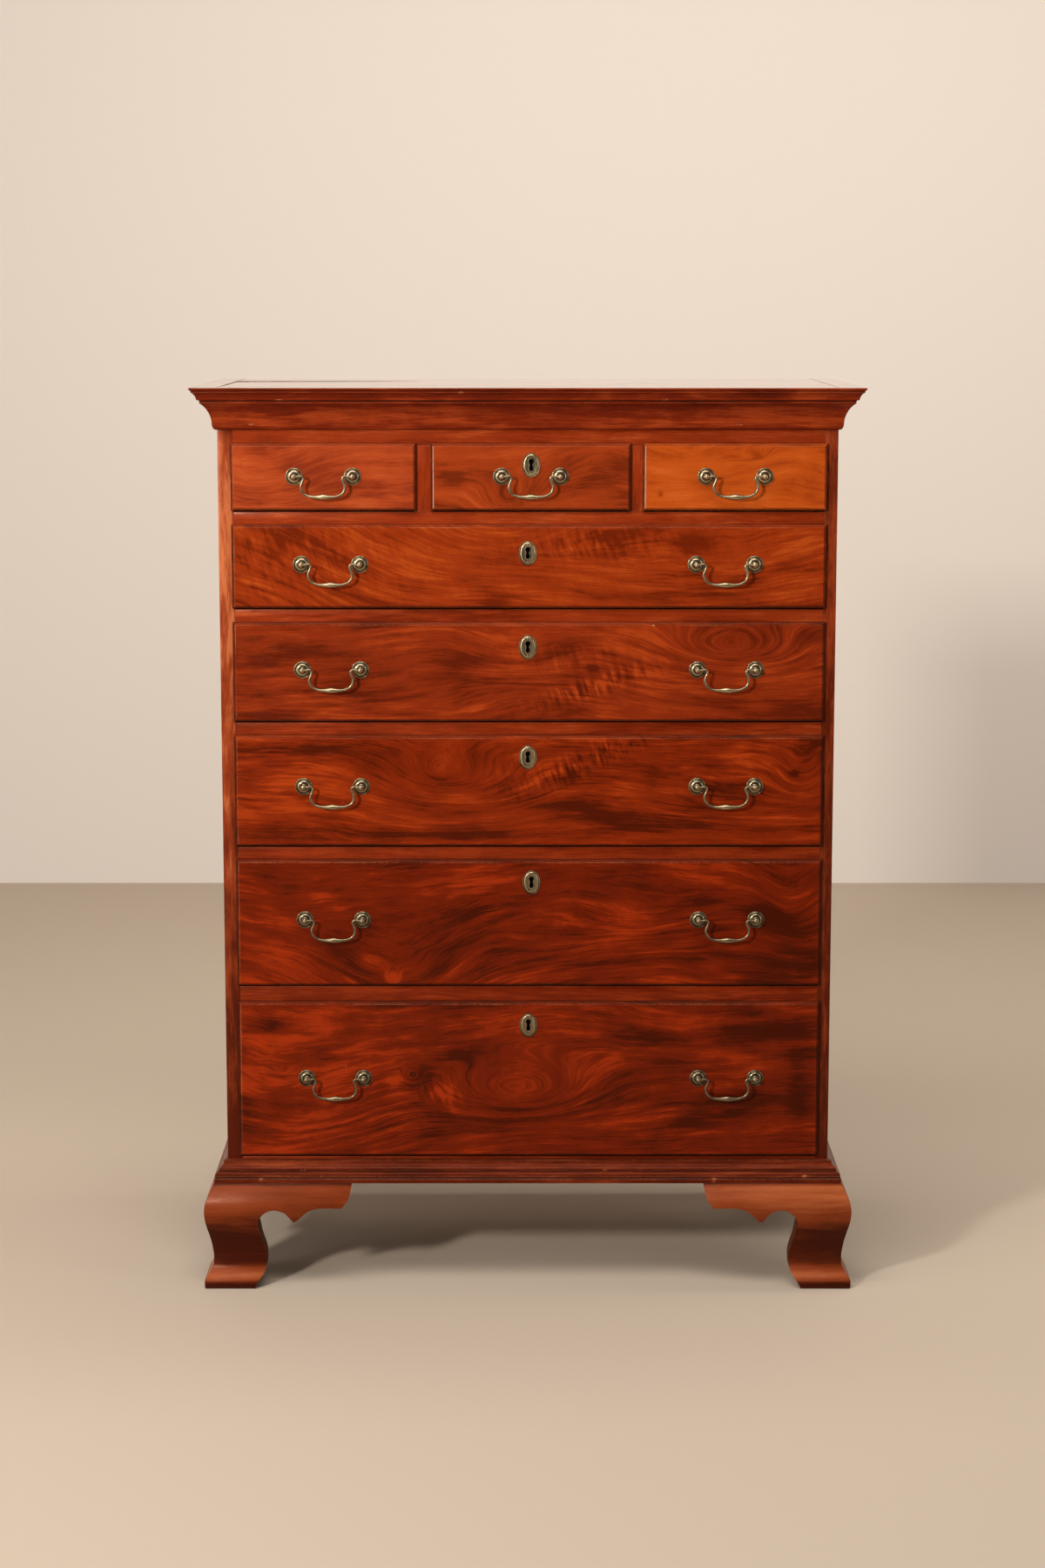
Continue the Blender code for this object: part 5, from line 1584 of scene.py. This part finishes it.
LOCK_SUNK = 0.001
LOCK_ARRIS = 0.0006
BOLT_ARRIS = 0.0004
BOLT_SUNK = 0.001
BOLT_BACK = 0.0005
SCREW = (
    (0.0, -0.002, 0, 0), (0.0028, -0.002, 0, 0), (0.0028, 0.0002, 0, 0.6), (0.0022, 0.0006, 0.6, 0),
    (0.0, 0.0007, 0.5, 0),
)
SCREW_INSET = 0.006
LOCK_IRON = ((0.24, 0.20, 0.16), (0.10, 0.082, 0.066), (0.025, 0.016, 0.010))
plate_pin = solid("plate_pin", *turned(PIN, 10))
screw = solid("screw", *turned(SCREW, 12))
screw.transform(Matrix.Rotation(math.pi, 4, "Z"))
lock_iron = metal("lock_iron", LOCK_IRON, 0.5, 0.9)


def keyhole_plate(x, z):
    """An oval plate about a keyhole, whose rings pass from the oval of its rim to the line of the hole."""
    hole = keyhole_line(0, 0, count=PLATE_SIDES)
    first = max(range(PLATE_SIDES), key=lambda i: hole[i][0] - abs(hole[i][1]) * 0.2)
    hole = hole[first:] + hole[:first]
    angles = [math.atan2(b * PLATE_WIDE / PLATE_HIGH, a) for a, b in hole]
    angles = [a if i == 0 or a > angles[0] - 1e-6 else a + math.tau for i, a in enumerate(angles)]
    evened = [0.35 * a + 0.65 * (angles[0] + math.tau * i / PLATE_SIDES) for i, a in enumerate(angles)]
    rim = [(PLATE_WIDE / 2 * math.cos(a), PLATE_HIGH / 2 * math.sin(a)) for a in evened]
    verts, values = [], []
    for share, out, worn_and_highlight, grime_and_shade in PLATE_RINGS:
        for (rx, rz), (hx, hz) in zip(rim, hole):
            verts.append((x + rx + (hx - rx) * share, face_y - out, z + rz + (hz - rz) * share))
            values.append((worn_and_highlight, grime_and_shade, worn_and_highlight))
    return solid("plate", verts, loop_walls(len(PLATE_RINGS), PLATE_SIDES, around=True), values, angle=60)


for name, (x, z) in KEYHOLES.items():
    body = f"drawer_{name}"
    pin_places = [(x, face_y - PIN_SUNK, z + PIN_AT), (x, face_y - PIN_SUNK, z - PIN_AT)]
    pins = spread(f"plate_pins_{name}", plate_pin, pin_places, brass)
    mesh = joined(f"keyhole_plate_{name}", keyhole_plate(x, z), pins)
    part(f"keyhole_plate_{name}", mesh, body, "brass", (brass,))

    wide, deep, high = LOCK[0] / 2, LOCK[1], LOCK[2] / 2
    lock_z = z - LOCK_UNDER_KEY
    bolt_y, bolt_z = inside_y + BOLT_BACK, lock_z + high
    case_y, bolt_x = (inside_y - LOCK_SUNK, inside_y + deep), (x - BOLT[0] / 2, x + BOLT[0] / 2)
    case = block((x - wide, x + wide), case_y, (lock_z - high, lock_z + high))
    bolt = block(bolt_x, (bolt_y, bolt_y + BOLT[1]), (bolt_z - BOLT_SUNK, bolt_z + BOLT[2]))
    screw_places = [
        (x + a * (wide - SCREW_INSET), inside_y + deep, lock_z + b * (high - SCREW_INSET))
        for a in (-1, 1) for b in (-1, 1)
    ]
    screws = spread(f"screws_{name}", screw, screw_places, lock_iron, turn=3.0, seed=5)
    lock = joined(f"lock_{name}", rounded(case, LOCK_ARRIS), rounded(bolt, BOLT_ARRIS), screws)
    part(f"lock_{name}", lock, body, "brass", (lock_iron,) * 2)
